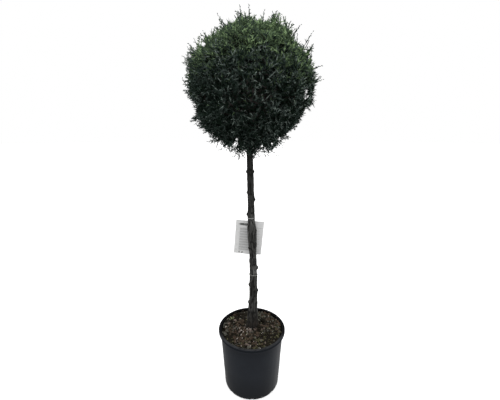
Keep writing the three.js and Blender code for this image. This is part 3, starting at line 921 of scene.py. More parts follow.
def mulch_chips(name, count, lengths, lift, homes, dark, pale):
    """One kind of chips, strewn over the ground, heaped a little along the pot's wall and kept inside it.
    The noise that gathers them is seeded by the length of their name."""
    rim = pot_inner(SOIL.edge) - CHIP.rim_room
    place = chip_places(count, homes, len(name), rim)
    chips = chip_shapes(count, lengths)
    height = ground_height(*place.T) + lift + strewn.uniform(*CHIP.lift, count)
    height = height + CHIP.heap * ease(np.linalg.norm(place, axis=1), CHIP.heap_start * rim, rim)
    points = chips + np.concatenate([place, height[:, None]], axis=1)[:, None]
    out = np.hypot(points[..., 0], points[..., 1])
    points[..., :2] *= np.minimum(1, (pot_inner(SOIL.edge) - CHIP.wall_room) / out)[..., None]
    lower = np.arange(CHIP.corners)
    own = [grid_faces(2, CHIP.corners), lower[::-1][None], (lower + CHIP.corners)[None]]
    faces = repeated(own, count, 2 * CHIP.corners)
    add_piece(name, points.reshape(-1, 3), faces, finish(name, mulch(dark, pale)), crease=0)


# fallen sprays and leaves and a seedling: name, how many blades, middle and spread, length from and to, rise,
# radius and colour
LITTER = [
    ("fallen_sprays", 90, (55, 80), 26, (10, 26), 0.15, 1.1, (0.12, 0.128, 0.095)),
    ("fallen_leaves", 60, (25, -20), 55, (7, 18), 0.2, 1.0, (0.125, 0.118, 0.075)),
    ("seedling", 15, (-94, 66), 6, (8, 17), 0.8, 1.7, (0.25, 0.275, 0.15)),
]
BLADE = Sizes(above=3.5, root_room=18, tip_room=4, slope=60, slope_share=(0.5, 1.5))


def litter(name, count, middle, spread, lengths, rise, radius, colour):
    """Slim blades that lie on the mulch or stand up from it, strewn round a middle inside the pot."""
    place = np.array(middle) + strewn.normal(0, spread, (count, 2))
    out = np.linalg.norm(place, axis=1, keepdims=True)
    place = place * np.minimum(1, (pot_inner(SOIL.edge) - BLADE.root_room) / out)
    root = np.concatenate([place, (ground_height(*place.T) + BLADE.above)[:, None]], axis=1)
    around = strewn.uniform(0, 2 * np.pi, count)
    slope = np.radians(BLADE.slope) * rise * strewn.uniform(*BLADE.slope_share, count)
    tip = root + direction_of(around, slope) * strewn.uniform(*lengths, count)[:, None]
    out = np.hypot(tip[:, 0], tip[:, 1])
    tip[:, :2] *= np.minimum(1, (pot_inner(SOIL.edge) - BLADE.tip_room) / out)[:, None]
    points, faces = spindles(root, tip, np.full(count, radius))
    add_piece(name, points, faces, finish(name, plain(colour, 0.8)))


# Trunk and boughs

def trunk_axis(z):
    """The trunk's axis at heights z: a Catmull-Rom curve through even stations, carried on at its ends."""
    share = np.clip((np.asarray(z, float) - TRUNK.ground) / (TRUNK.tip - TRUNK.ground), 0, 1)
    stations = np.stack([TRUNK.x, TRUNK.y], -1).astype(float)
    carried = np.concatenate([[2 * stations[0] - stations[1]], stations, [2 * stations[-1] - stations[-2]]])
    place = share * (len(stations) - 1)
    i = np.minimum(place.astype(int), len(stations) - 2)
    t = (place - i)[..., None]
    a, b, c, d = (carried[i + step] for step in range(4))
    return b + 0.5 * t * (c - a + t * (2 * a - 5 * b + 4 * c - d + t * (3 * (b - c) + d - a)))


def trunk_radius(z):
    """The trunk's radius at heights z: two straight tapers that meet under the crown, a slight swelling
    half way up and a flare at the foot."""
    neck = CROWN.centre[2] - CROWN.radii[2]
    shaft = np.interp(z, [TRUNK.ground, neck, TRUNK.tip], [TRUNK.foot, TRUNK.neck, TRUNK.end])
    swelling = TRUNK.swelling * np.exp(-((z - TRUNK.swelling_height) / TRUNK.swelling_half) ** 4)
    flare = TRUNK.flare * np.exp((TRUNK.ground - np.maximum(z, TRUNK.ground)) / TRUNK.flare_height)
    return shaft + swelling + flare


def bark_relief(points, along):
    """Relief of bark from two noises that are stretched along the limb: furrows where the broad one is near
    its middle value, and a fine grain. Gives how far the bark stands out, and a mark from 0 in the furrows
    to 1 on the ridges. along is each point's way along its limb."""
    spread = np.concatenate([points[..., :2], along[..., None]], axis=-1)
    furrows = 1 - np.abs(2 * noise(spread, BARK.furrow, 5) - 1)
    ridges = 1 - furrows ** 3
    grain = noise(spread, BARK.grain, 6)
    bumps = BARK.furrow_depth * (ridges - BARK.furrow_level) + BARK.grain_depth * (grain - BARK.grain_level)
    return bumps, BARK.furrow_mark * ridges + BARK.grain_mark * grain


def knot_push(angle, z, radius):
    """How far the knots push the bark out, and how far their scars darken it. Each is a blunt stub, which
    falls off with the fourth power of the distance, on a low collar, which falls off with the square, as
    the scar does."""
    push = np.zeros_like(z)
    scar = np.zeros_like(z)
    for height, direction, size in KNOTS:
        turn = (angle - np.radians(direction) + np.pi) % (2 * np.pi) - np.pi
        away = np.hypot(radius * turn, z - height) / size
        push += KNOT.reach * size / KNOTS[:, 2].max() * np.exp(-(away / KNOT.width) ** 4)
        push += KNOT.collar * size * np.exp(-(away / KNOT.collar_width) ** 2)
        scar += np.exp(-(away / KNOT.scar) ** 2)
    return push, scar


def trunk(material):
    """Level rings round the bent axis, from under the mulch to the tip: angle against height, with twisted
    ridges, root lobes at the foot, lumps, knots and bark relief."""
    rows, columns = 1040, 84
    share = np.linspace(0, 1, rows)[:, None] ** TRUNK.crowding
    z = mix(TRUNK.ground - TRUNK.sunk, TRUNK.tip, share) + np.zeros((1, columns))
    angle = full_turn(columns) + np.zeros((rows, 1))
    radius = trunk_radius(z)
    ridges = 1 + sum(proud * np.sin(count * angle + z / twist) for count, proud, twist in RIDGES)
    fading = np.exp((TRUNK.ground - np.maximum(z, TRUNK.ground)) / TRUNK.flare_height)
    lobes = BARK.lobe_depth * fading * np.sin(BARK.root_lobes * angle + BARK.lobe_turn)
    bare = radius * (ridges + lobes)
    round_bark = round_axis(bare, angle, z)
    bumps, mark = bark_relief(round_bark, z)
    bumps = bumps + BARK.lump_depth * (noise(round_bark, BARK.lump, 8) - 0.5)
    push, scar = knot_push(angle, z, bare)
    points = round_axis(bare + push + bumps * radius / TRUNK.foot, angle, z)
    points[..., :2] += trunk_axis(z)
    poles = np.array([[*trunk_axis(height), height] for height in (z[0, 0], z[-1, 0] + 1)])
    mark = np.append((mark - KNOT.darkening * scar).ravel(), [0.5, 0.5])
    points = np.concatenate([points.reshape(-1, 3), poles])
    add_piece("trunk_bark", points, capped_faces(rows, columns), material, ["trunk"], attribute=mark)


def in_crown(direction, share):
    """The point in a direction from the crown's centre, at a share of the way to its clipped outline."""
    return CROWN.centre + direction * CROWN.radii * np.asarray(share)[..., None]


def crown_masses():
    """The crown's masses in the source's order: name, direction, the bough's radius and, but for the top
    one, its height on the trunk."""
    masses = []
    for ring in RINGS:
        for i in range(ring.count):
            azimuth = np.radians(ring.turn) + i * 2 * np.pi / ring.count
            height = CROWN.centre[2] + ring.first_height + i * ring.height_step
            direction = direction_of(azimuth, np.radians(ring.elevation))
            name = f"{ring.name}_{i + 1}"
            masses.append(Sizes(name=name, direction=direction, height=height, radius=ring.radius))
    masses.append(Sizes(name="top", direction=UP, height=None, radius=TRUNK.end / BOUGH.taper))
    return masses


def bough_curve(mass):
    """A bough's start on the trunk's axis, the point that bends it, and its end in the crown."""
    root = np.array([*trunk_axis(mass.height), mass.height])
    end = in_crown(mass.direction, BOUGH.end)
    bend = mix(root, end, BOUGH.bend_out)
    bend[2] = mix(root[2], end[2], BOUGH.bend_up)
    return root, bend, end


def stem_curve(mass):
    """The stem that carries a mass on from its bough's end, or from the trunk's tip."""
    if mass.height is None:
        root = np.array([*trunk_axis(TRUNK.tip), TRUNK.tip])
        heading = UP
    else:
        root = bough_curve(mass)[2]
        heading = bent_heading(*bough_curve(mass), 1.0)
    return root, root + heading * STEM.straight, in_crown(mass.direction, STEM.end)


def bough(mass, material):
    """A limb of round section on its curve, angle against the way along it, with bark relief that fades
    with its thickness."""
    rows, columns = 90, 28
    t = np.linspace(0, 1, rows)
    curve = bough_curve(mass)
    path = bent(*curve, t)
    angle = full_turn(columns) + np.zeros((rows, 1))
    out = beside(bent_heading(*curve, t)[:, None, :], angle)
    radius = mass.radius * mix(BOUGH.collar, BOUGH.taper, t ** BOUGH.taper_power)[:, None]
    way = np.linalg.norm(curve[2] - curve[0]) * t[:, None] + np.zeros((1, columns))
    bumps, mark = bark_relief(round_axis(radius, angle, way) + mass.height, way)
    points = path[:, None] + (radius + bumps * radius / TRUNK.foot)[..., None] * out
    poles = np.array([path[0], path[-1]])
    mark = np.append(mark.ravel(), [0.5, 0.5])
    points = np.concatenate([points.reshape(-1, 3), poles])
    add_piece(f"bough_bark_{mass.name}", points, capped_faces(rows, columns), material,
              [f"bough_{mass.name}"], attribute=mark)


# Crown: branches that grow on from the stems by the source's rule, then twigs, sprays and their twiglets

def seeded(seed):
    """The source's run of numbers from 0 to 1."""
    state = seed
    while True:
        state = (state * 1664525 + 1013904223) % 2 ** 32
        yield state / 2 ** 32


def turned_to_shoots(directions):
    """The sprigs' directions with the nearest free one turned to each listed shoot, the directions of their
    feet, and the listed reaches, 0 for all other sprigs."""
    turned = directions.copy()
    feet = directions.copy()
    own_reach = np.zeros(SPRIG.count)
    for azimuth, elevation, reach, lower in LONG_SHOOTS:
        aim = direction_of(np.radians(azimuth), np.radians(elevation))
        nearest = np.argmax(np.where(own_reach == 0, turned @ aim, -1))
        turned[nearest] = aim
        feet[nearest] = direction_of(np.radians(azimuth), np.radians(elevation - lower))
        own_reach[nearest] = reach
    return turned, feet, own_reach


def sprig_axes(masses):
    """Each sprig's mass, direction, root and tip, and whether it is a slim or a broad shoot, as the source
    draws them, with a fullness and a brightness of its own. Sprigs stand in even directions."""
    directions = spread_directions(SPRIG.count)
    _, back, up = directions.T
    stands_out = (np.abs(back) > SPRIG.shoot_aside) & (up > SPRIG.shoot_lowest)
    stands_out = stands_out & ((back > 0) | (up < SPRIG.shoot_front))
    shoot = (np.arange(SPRIG.count) % SPRIG.shoot_every == 0) & stands_out
    directions, feet, own_reach = turned_to_shoots(directions)
    listed = own_reach > 0
    owners = np.argmax(directions @ np.array([mass.direction for mass in masses]).T, axis=1)
    draws = [seeded(SPRIG.seed + i) for i in range(len(masses))]
    numbers = np.array([[next(draws[own]) for _ in range(6)] for own in owners])
    lean = (numbers[:, :3] - [0.5, 0.5, 0.35]) * SPRIG.lean
    extra = numbers[:, 3]
    rise = 0.4 + 0.6 * np.maximum(0, directions[:, 2])
    shoot_reach = 1 + SPRIG.shoot_reach * rise * (0.75 + 0.25 * extra)
    reach = np.where(shoot, shoot_reach, SPRIG.reach + SPRIG.reach_spread * extra)
    heading = np.where(listed[:, None], directions, unit(directions + lean))
    reach = np.where(listed, own_reach, reach * outline_share(heading))
    return Sizes(
        owner=owners,
        direction=directions,
        root=in_crown(feet, np.full(SPRIG.count, SPRIG.root)),
        tip=in_crown(heading, reach),
        slim=np.where(listed, reach > SPRIG.slim_reach, shoot),
        broad=listed & (reach <= SPRIG.slim_reach),
        fullness=random.normal(0, 1, SPRIG.count),
        brightness=random.normal(0, 1, SPRIG.count),
    )


# dips and swellings of the outline: azimuth, elevation and half width in degrees, and share of the radius
DIPS = np.array([
    [350, -33, 30, -0.12],
    [190, -17, 14, -0.11],
    [189, -32, 9, 0.08],
    [189, -47, 9, -0.03],
    [336, 41, 13, -0.125],
    [342, 30, 6, 0.12],
    [318, 61, 13, 0.085],
    [293, 68, 7, -0.06],
    [250, 67, 13, 0.055],
    [226, 60, 8, -0.06],
    [345, -58, 9, -0.03],
    [100, -38, 26, -0.07],
    [197, 22, 10, 0.025],
    [80, 30, 22, 0.03],
    [214, 55, 10, -0.03],
    [238, 67, 8, -0.085],
    [295, 67, 6, -0.055],
    [334, 46, 6, 0.04],
    [342, 26, 6, -0.08],
    [323, 57, 7, 0.05],
    [200, 33, 8, 0.035],
    [349, -11, 7, 0.05],
    [192, -69, 7, 0.06],
    [190, -84, 8, 0.06],
    [350, -83, 8, 0.05],
])
# gaps where the sky shows, seen from the front: x and z in the plane through the trunk, and half width
SKY_GAPS = np.array([
    [-56, 1034, 9],
    [-60, 1020, 13],
    [-62, 1009, 7],
    [190, 1201, 10],
    [191, 1191, 11],
    [190, 1180, 13],
    [-166, 1349, 10],
    [98, 1036, 8],
    [73, 1020, 6],
    [36, 1010, 5],
    [47, 1000, 5],
    [113, 1028, 6],
])
SKY_GAP_EDGE = (0.3, 1.15)  # how far out a gap ends, from and to, as a share of its half width
SKY_GAP_TWIGS = 0.03  # share of the twiglets that stay in the gaps
SKY_GAP_PROBES = (0.3, 0.65, 1)  # places along a twiglet that are looked at
# sprays lighter or darker than their zone, as painted light and shade: azimuth, elevation and half width
# in degrees, and strength
LIGHT_PATCHES = np.array([
    [277, -2, 10, 1.0],
    [321, 5, 15, 0.4],
    [323, -15, 13, 0.4],
    [309, -36, 13, 1.0],
    [291, -42, 13, 0.6],
    [292, -20, 7, 0.4],
    [268, -38, 9, 0.3],
    [291, -70, 20, 0.5],
    [272, 12, 8, -0.7],
    [292, 30, 11, -0.8],
    [263, 36, 11, 0.8],
    [238, 26, 9, 0.3],
    [310, 26, 10, 0.5],
    [215, 17, 11, -0.4],
    [253, 1, 9, -0.4],
    [248, -9, 7, -0.4],
    [269, -18, 9, -1.7],
    [258, -20, 6, 0.6],
    [224, -30, 10, -2.0],
    [244, -31, 7, 1.1],
    [252, -48, 9, -0.4],
    [290, 2, 7, -2.0],
    [290, -10, 7, 1.2],
    [258, 11, 8, 1.2],
    [240, 58, 16, 0.5],
    [303, 46, 15, -0.6],
])
# sunny sides, with yellow-green further down: the same, with strength as a share of the crown's height
SUNNY = np.array([
    [323, 10, 18, 0.36],
    [214, 26, 12, 0.18],
])
# withered twiglets: the same, with strength as a share of the dark ones
WITHERED = np.array([
    [274, -14, 13, 0.35],
    [256, -16, 9, 0.2],
    [284, 4, 7, 0.25],
])
# twiglets that stand out against the sky, which are plain green or deep: painted shade, as of twiglets
# seen against the light
FRINGE = Sizes(start=1.08, lowest=0.25, green=0.5)
# kinds of sprays. Of count even directions over the ball, they take those in a zone of heights and further
# right than a limit. They leave a branch at a share of its way (start) and end at a share of the crown's
# radius (reach), a few of them further out (stretch), in a direction that varies (lean). They carry side
# twiglets with forks at shares of their length, spread by degrees at the foot and at the tip. A higher light
# deals them lighter shades
INNER = Sizes(
    count=720, zone=(-1, 1), right=-1, start=(0.1, 0.5), reach=(0.58, 0.84), stretch=0, lean=0.2,
    side=12, forks=(0.5,), spread=(58, 40), longest=36, shortest=24, radius=2.1, axis_radius=2.0, light=0.5,
)
CLIPPED = Sizes(
    count=1500, zone=(-1, 1), right=-1, start=(0.4, 0.8), reach=(0.86, 0.97), stretch=0, lean=0.15,
    side=15, forks=(0.36, 0.62), spread=(56, 42), longest=30, shortest=18, radius=1.6, axis_radius=1.5,
    light=0.7,
)
STRANDS = Sizes(
    count=1500, zone=(-1, 1), right=-1, start=(0.6, 0.95), reach=(0.93, 1.01), stretch=0, lean=0.24,
    side=7, forks=(0.42,), spread=(44, 30), longest=30, shortest=20, radius=1.7, axis_radius=1.5, light=1.5,
)
LOOSE = Sizes(
    count=1100, zone=(-0.9, 1), right=-1, start=(0.5, 0.9), reach=(0.95, 1.06), stretch=0.15, lean=0.18,
    side=11, forks=(0.45,), spread=(40, 24), longest=19, shortest=7, radius=1.5, axis_radius=1.5, light=0.8,
)
HANGING = Sizes(
    count=2400, zone=(-1, -0.86), right=-1, start=(0.6, 0.95), reach=(0.98, 1.2), stretch=0, lean=0.12,
    side=9, forks=(0.45,), spread=(44, 28), longest=20, shortest=9, radius=1.5, axis_radius=1.5, light=0.8,
)
TATTERS = Sizes(
    count=2600, zone=(-1, -0.9), right=-0.22, start=(0.6, 0.98), reach=(0.95, 1.25), stretch=0, lean=0.1,
    side=7, forks=(0.45,), spread=(50, 34), longest=15, shortest=8, radius=1.4, axis_radius=1.3, light=0.6,
)
# sprays of the sprigs that stand out: broad plumes and slim shoots
PLUMES = Sizes(
    side=26, forks=(0.4,), spread=(44, 24), longest=26, shortest=6, radius=1.5, axis_radius=1.7, light=0.7,
)
SHOOTS = Sizes(
    side=16, forks=(0.4,), spread=(42, 24), longest=20, shortest=5, radius=1.4, axis_radius=1.7, light=0.5,
)
KINDS = (INNER, CLIPPED, STRANDS, LOOSE, HANGING, TATTERS)
SPRAY = Sizes(
    clump=0.1,  # how far tips fall back at the edge of a sprig's patch
    tuft=0.025,  # how far they differ from sprig to sprig
    lift=0.14,
    bow=10,
    bow_spread=0.6,
    stretch_zone=(0.1, 0.7),  # heights over which the stretch grows to its full amount
    low=-0.8,  # height under which some are left out
    low_gap=0.2,
    tone=0.12,  # how far a spray may stray from its zone of shades
    alike=0.35,  # share of twiglets that are dealt their spray's number, below and on top
    alike_top=0.1,
    alike_zone=(-0.1, 0.6),
    patch_light=0.15,  # how far light differs from sprig to sprig
    branch_reach=0.98,  # how far out a spray may leave its branch
    outer=0.4,  # way along a spray where its outer twiglets begin
    outer_spread=0.3,
)
TWIGLET = Sizes(
    first=0.24,  # way along a spray where the first one stands
    step_spread=0.9,
    lean_spread=10,
    lift=0.16,
    length=(0.6, 1.2),
    spray_length=(0.8, 1.2),
    fork_place=0.08,
    fork_turn=0.8,
    fork_lean=36,
    fork_share=0.58,
    fork_loss=0.25,  # how much shorter each next fork is
    fork_length=(0.7, 1.25),
    fork_radius=0.85,
    fork_alike=0.5,  # share of forks that are dealt their twiglet's number
    axis_parts=((0.2, 0.68), (0.6, 1.0)),
    axis_deal=(0.4, 1),
)
# shades of the sprays, from the shaded inside to the sunny tips, and then the frosted and the withered ones
SHADES = {
    "shadow": (0.011, 0.025, 0.015),
    "deep": (0.034, 0.056, 0.044),
    "blue": (0.074, 0.102, 0.09),
    "green": (0.078, 0.122, 0.068),
    "olive": (0.145, 0.22, 0.108),
    "bright": (0.36, 0.515, 0.255),
    "frost": (0.24, 0.295, 0.265),
    "brown": (0.052, 0.043, 0.042),
}
# painted light and shade: lighter shades are dealt on top, darker ones lower down and inside the sprays
# how shades are dealt: lowest height of a zone, the shade inside its sprays, and the outer twiglets' shades,
# the lightest first, and shares
SHADE_ZONES = [
    (0.5, "green", ("bright", "olive", "green"), (0.29, 0.36, 0.35)),
    (0.1, "shadow", ("frost", "olive", "green", "blue", "deep"), (0.165, 0.15, 0.22, 0.235, 0.23)),
    (-0.4, "shadow", ("frost", "olive", "blue", "deep", "shadow"), (0.155, 0.03, 0.36, 0.285, 0.17)),
    (-2.0, "shadow", ("frost", "blue", "deep", "shadow"), (0.12, 0.43, 0.34, 0.11)),
]
DARK_SHADES = 2  # how many of the shades, from the first, are dark
MOST_TRIANGLES = 190_000


def patchwork(direction, patches):
    """The sum of patches in a direction: each fades with the square of the angle from its middle."""
    middles = direction_of(np.radians(patches[:, 0]), np.radians(patches[:, 1]))
    aside = np.degrees(np.arccos(np.clip(direction @ middles.T, -1, 1)))
    return np.sum(patches[:, 3] * np.exp(-(aside / patches[:, 2]) ** 2), axis=-1)


def outline_share(direction):
    """The clipped outline in a direction, as a share of the crown's ellipsoid."""
    return 1 + patchwork(direction, DIPS)


def branch_curves(masses, sprigs):
    """A branch for each sprig: it leaves its mass's stem, the earlier the further it has to turn aside,
    passes by the sprig's root and ends at its tip."""
    stems = np.array([stem_curve(mass) for mass in masses])[sprigs.owner]
    aims = np.array([mass.direction for mass in masses])[sprigs.owner]
    aside = np.arccos(np.clip(np.sum(aims * sprigs.direction, axis=1), -1, 1))
    leave = BRANCH.latest - BRANCH.turned_back * aside / aside.max()
    leave = np.clip(leave, BRANCH.earliest, BRANCH.latest)
    start = bent(stems[:, 0], stems[:, 1], stems[:, 2], leave)
    return start, sprigs.root, sprigs.tip


def clear_of_trunk(points):
    """True where points keep clear of the bark."""
    axis = trunk_axis(points[..., 2])
    apart = np.hypot(points[..., 0] - axis[..., 0], points[..., 1] - axis[..., 1])
    return (apart > trunk_radius(points[..., 2]) + TRUNK_ROOM) | (points[..., 2] > TRUNK.tip + TRUNK_ROOM)


def in_sky_gap(points):
    """True where points would close a gap: each is carried along its line of sight to the plane through the
    trunk. Some are let off near a gap's edge, so that twigs reach into it."""
    eye = np.array(CAMERA.place)
    seen = eye + (points - eye) * (eye[1] / (eye[1] - points[:, 1]))[:, None]
    apart = np.linalg.norm(seen[:, None, ::2] - SKY_GAPS[:, :2], axis=-1)
    return np.any(apart < SKY_GAPS[:, 2] * random.uniform(*SKY_GAP_EDGE, (len(points), 1)), axis=1)


def spray_curves(kind, sprigs, branches):
    """The axis of each spray of a kind. Even directions over the ball are dealt to the nearest sprig; a
    spray leaves that sprig's branch and bows outwards to its own tip. Tips fall back towards the edge of a
    sprig's patch, so that the crown is tufted. The underside is thinner, and what would touch the trunk is
    left out."""
    count = kind.count
    directions = spread_directions(count)
    closeness = directions @ sprigs.direction.T
    sprig = np.argmax(closeness, axis=1)
    aside = np.arccos(np.clip(closeness.max(axis=1), -1, 1))
    aside = aside / aside.max()
    stem_end, root, branch_tip = (each[sprig] for each in branches)
    far = np.linalg.norm((branch_tip - CROWN.centre) / CROWN.radii, axis=1, keepdims=True)
    inner_tip = CROWN.centre + (branch_tip - CROWN.centre) * np.minimum(1, SPRAY.branch_reach / far)
    start = bent(stem_end, root, inner_tip, random.uniform(*kind.start, count))
    heading = unit(directions + random.normal(0, kind.lean, (count, 3)) + SPRAY.lift * UP)
    reach = random.uniform(*kind.reach, count) - SPRAY.clump * aside ** 2
    reach = reach + SPRAY.tuft * sprigs.fullness[sprig]
    high = 0.5 + 0.5 * ease(heading[:, 2], *SPRAY.stretch_zone)
    reach = reach + kind.stretch * high * random.uniform(0, 1, count) ** 2
    tip = in_crown(heading, reach * outline_share(heading))
    bow = directions + random.normal(0, SPRAY.bow_spread, (count, 3))
    control = mix(start, tip, 0.5) + SPRAY.bow * bow
    lowest, highest = kind.zone
    thinned = (directions[:, 2] < SPRAY.low) & (random.uniform(0, 1, count) < SPRAY.low_gap)
    kept = ~thinned & (directions[:, 2] > lowest) & (directions[:, 2] < highest)
    kept = kept & (directions[:, 0] > kind.right) & clear_of_trunk(tip) & clear_of_trunk(control)
    # painted light and shade: patches of the crown are dealt lighter or darker shades
    light = np.exp(SPRAY.patch_light * sprigs.brightness[sprig] + patchwork(directions, LIGHT_PATCHES))
    return Sizes(start=start[kept], control=control[kept], tip=tip[kept], light=light[kept])


def sprig_sprays(sprigs, branches, chosen, copies=1):
    """The chosen sprigs' own sprays, on the outer half of each branch. The first copy ends at the sprig's
    tip, and further copies fall somewhat short of it and aside."""
    ways = (SPRIG.spray_foot, SPRIG.spray_bend)
    on_branch = [bent(*branches, np.full(SPRIG.count, t))[chosen] for t in ways]
    start, control = (np.tile(each, (copies, 1)) for each in on_branch)
    control = control + random.normal(0, SPRAY.bow / 2, control.shape)
    further = np.repeat(np.arange(copies) > 0, chosen.sum())[:, None]
    tip = np.tile(sprigs.tip[chosen], (copies, 1))
    aside = random.normal(0, SPRIG.copy_aside * SPRAY.bow, tip.shape)
    tip = np.where(further, mix(control, tip, SPRIG.copy_reach) + aside, tip)
    return Sizes(start=start, control=control, tip=tip, light=np.ones(len(tip)))


def shuffled(rows):
    """The numbers of each row in another order: all turned on by one."""
    return np.roll(rows, 1, axis=1)


def side_twiglets(sprays, kind, curve):
    """Side twiglets set by the golden angle along each spray's curve, which shorten and close up towards
    its tip. deal is a number from 0 to 1 for each of them, which twiglets of one spray often share."""
    count = len(sprays.start)
    number = np.arange(kind.side)
    way = (number + random.uniform(0, TWIGLET.step_spread, (count, kind.side))) / kind.side
    t = mix(TWIGLET.first, 1.0, way)
    root = bent(*curve, t)
    along = bent_heading(*curve, t)
    turn = number * GOLDEN_ANGLE + random.uniform(0, 2 * np.pi, (count, 1))
    lean = np.radians(mix(*kind.spread, way) + random.normal(0, TWIGLET.lean_spread, way.shape))[..., None]
    heading = unit(np.cos(lean) * along + np.sin(lean) * beside(along, turn) + TWIGLET.lift * UP)
    length = mix(kind.longest, kind.shortest, way) * random.uniform(*TWIGLET.length, way.shape)
    length = length * random.uniform(*TWIGLET.spray_length, (count, 1))
    tip = root + heading * length[..., None]
    height = (sprays.tip - CROWN.centre)[:, 2:] / CROWN.radii[2]
    alike_share = mix(SPRAY.alike, SPRAY.alike_top, ease(height, *SPRAY.alike_zone))
    alike = random.uniform(0, 1, way.shape) < alike_share
    light = kind.light * sprays.light[:, None]
    deal = np.where(alike, random.uniform(0, 1, (count, 1)), random.uniform(0, 1, way.shape)) ** light
    return Sizes(root=root, tip=tip, heading=heading, turn=turn, length=length, way=way, deal=deal)


def fork_twiglets(side, number, place):
    """One fork on each side twiglet, each next one turned to the other side: it is shorter, leans away from
    it and is often dealt its number."""
    shape = side.way.shape
    place = place + random.uniform(-TWIGLET.fork_place, TWIGLET.fork_place, (*shape, 1))
    root = mix(side.root, side.tip, place)
    turn = np.pi * number + random.normal(0, TWIGLET.fork_turn, shape) + side.turn
    lean = np.radians(TWIGLET.fork_lean + random.normal(0, TWIGLET.lean_spread, shape))[..., None]
    heading = np.cos(lean) * side.heading + np.sin(lean) * beside(side.heading, turn)
    length = side.length * TWIGLET.fork_share * (1 - TWIGLET.fork_loss * number)
    length = length * random.uniform(*TWIGLET.fork_length, shape)
    deal = np.where(random.uniform(0, 1, shape) < TWIGLET.fork_alike, side.deal, shuffled(side.deal))
    return root, root + heading * length[..., None], deal


def twiglets(sprays, kind):
    """All twiglets of each spray: side twiglets, the forks on each of them, and a leafy axis in two parts.
    Gives their roots, tips, radii, way along the spray, dealt numbers and the spray's own tone."""
    count = len(sprays.start)
    curve = [each[:, None] for each in (sprays.start, sprays.control, sprays.tip)]
    side = side_twiglets(sprays, kind, curve)
    made = [(side.root, side.tip, np.full(side.way.shape, kind.radius), side.way, side.deal)]
    for number, place in enumerate(kind.forks):
        root, tip, deal = fork_twiglets(side, number, place)
        made.append((root, tip, np.full(side.way.shape, kind.radius * TWIGLET.fork_radius), side.way, deal))
    for low, high in TWIGLET.axis_parts:
        ends = [bent(*curve, np.full((count, 1), end)) for end in (low, high)]
        middle = np.full((count, 1), (low + high) / 2)
        deal = random.uniform(*TWIGLET.axis_deal, (count, 1))
        made.append((*ends, np.full((count, 1), kind.axis_radius), middle, deal))
    roots, tips, *numbers = zip(*made)
    tone = random.normal(0, SPRAY.tone, (count, 1))
    numbers.append([tone + np.zeros_like(each) for each in numbers[0]])
    points = [np.concatenate([each.reshape(-1, 3) for each in group]) for group in (roots, tips)]
    return *points, *(np.concatenate([each.ravel() for each in group]) for group in numbers)


def twiglet_shades(tips, ways, deal, tone):
    """Each twiglet's shade: yellow-green on top, blue-grey round the middle and dark below, as painted light
    from above and painted shade below. The inner part of a spray has one shade, mostly the painted shadow,
    and the outer twiglets are dealt their zone's others. Some dark ones are withered, and those out against
    the sky are green or deep, as painted shade."""
    names = list(SHADES)
    from_centre = (tips - CROWN.centre) / CROWN.radii
    direction = unit(from_centre)
    height = from_centre[:, 2] + tone + patchwork(direction, SUNNY)
    outer = ways + SPRAY.outer_spread * (deal - 0.5) > SPRAY.outer
    shade = np.full(len(ways), -1)
    for lowest, inside, kinds, shares in SHADE_ZONES:
        zone = (shade < 0) & (height > lowest)
        dealt = np.searchsorted(np.cumsum(shares)[:-1], deal)
        picked = np.array([names.index(kind) for kind in kinds])[dealt]
        shade[zone] = np.where(outer, picked, names.index(inside))[zone]
    withered = random.uniform(0, 1, len(shade)) < patchwork(direction, WITHERED)
    shade[withered & (shade < DARK_SHADES)] = names.index("brown")
    # painted shade: twiglets far out against the sky are darker
    far_out = np.linalg.norm(from_centre, axis=1) > FRINGE.start * outline_share(direction)
    fringe = far_out & (height > FRINGE.lowest)
    shade[fringe] = np.where(deal < FRINGE.green, names.index("green"), names.index("deep"))[fringe]
    return shade


def add_sprays(groups, nodes):
    """The twiglets of all sprays, joined by shade into pieces of a limited size. groups holds each kind's
    sprays and sizes. The inner kind has only the dark shades, as painted shade deep in the crown."""
    made = []
    for sprays, kind in groups:
        roots, tips, radii, ways, deal, tone = twiglets(sprays, kind)
        shade = twiglet_shades(tips, ways, deal, tone)
        # painted shade: deep in the crown, only the dark shades
        if kind is INNER:
            shade = np.minimum(shade, DARK_SHADES - 1)
        closing = np.any([in_sky_gap(mix(roots, tips, share)) for share in SKY_GAP_PROBES], axis=0)
        kept = ~closing | (random.uniform(0, 1, len(closing)) < SKY_GAP_TWIGS)
        made.append([each[kept] for each in (roots, tips, radii, shade)])
    roots, tips, radii, shade = (np.concatenate(each) for each in zip(*made))
    most = MOST_TRIANGLES // len(SPINDLE_FACES)
    for index, (name, colour) in enumerate(SHADES.items()):
        chosen = np.nonzero(shade == index)[0]
        material = finish(f"sprays_{name}", plain(colour, 0.7))
        for part, first in enumerate(range(0, len(chosen), most)):
            some = chosen[first:first + most]
            points, faces = spindles(roots[some], tips[some], radii[some])
            add_piece(f"sprays_{name}_{part + 1}", points, faces, material, nodes)


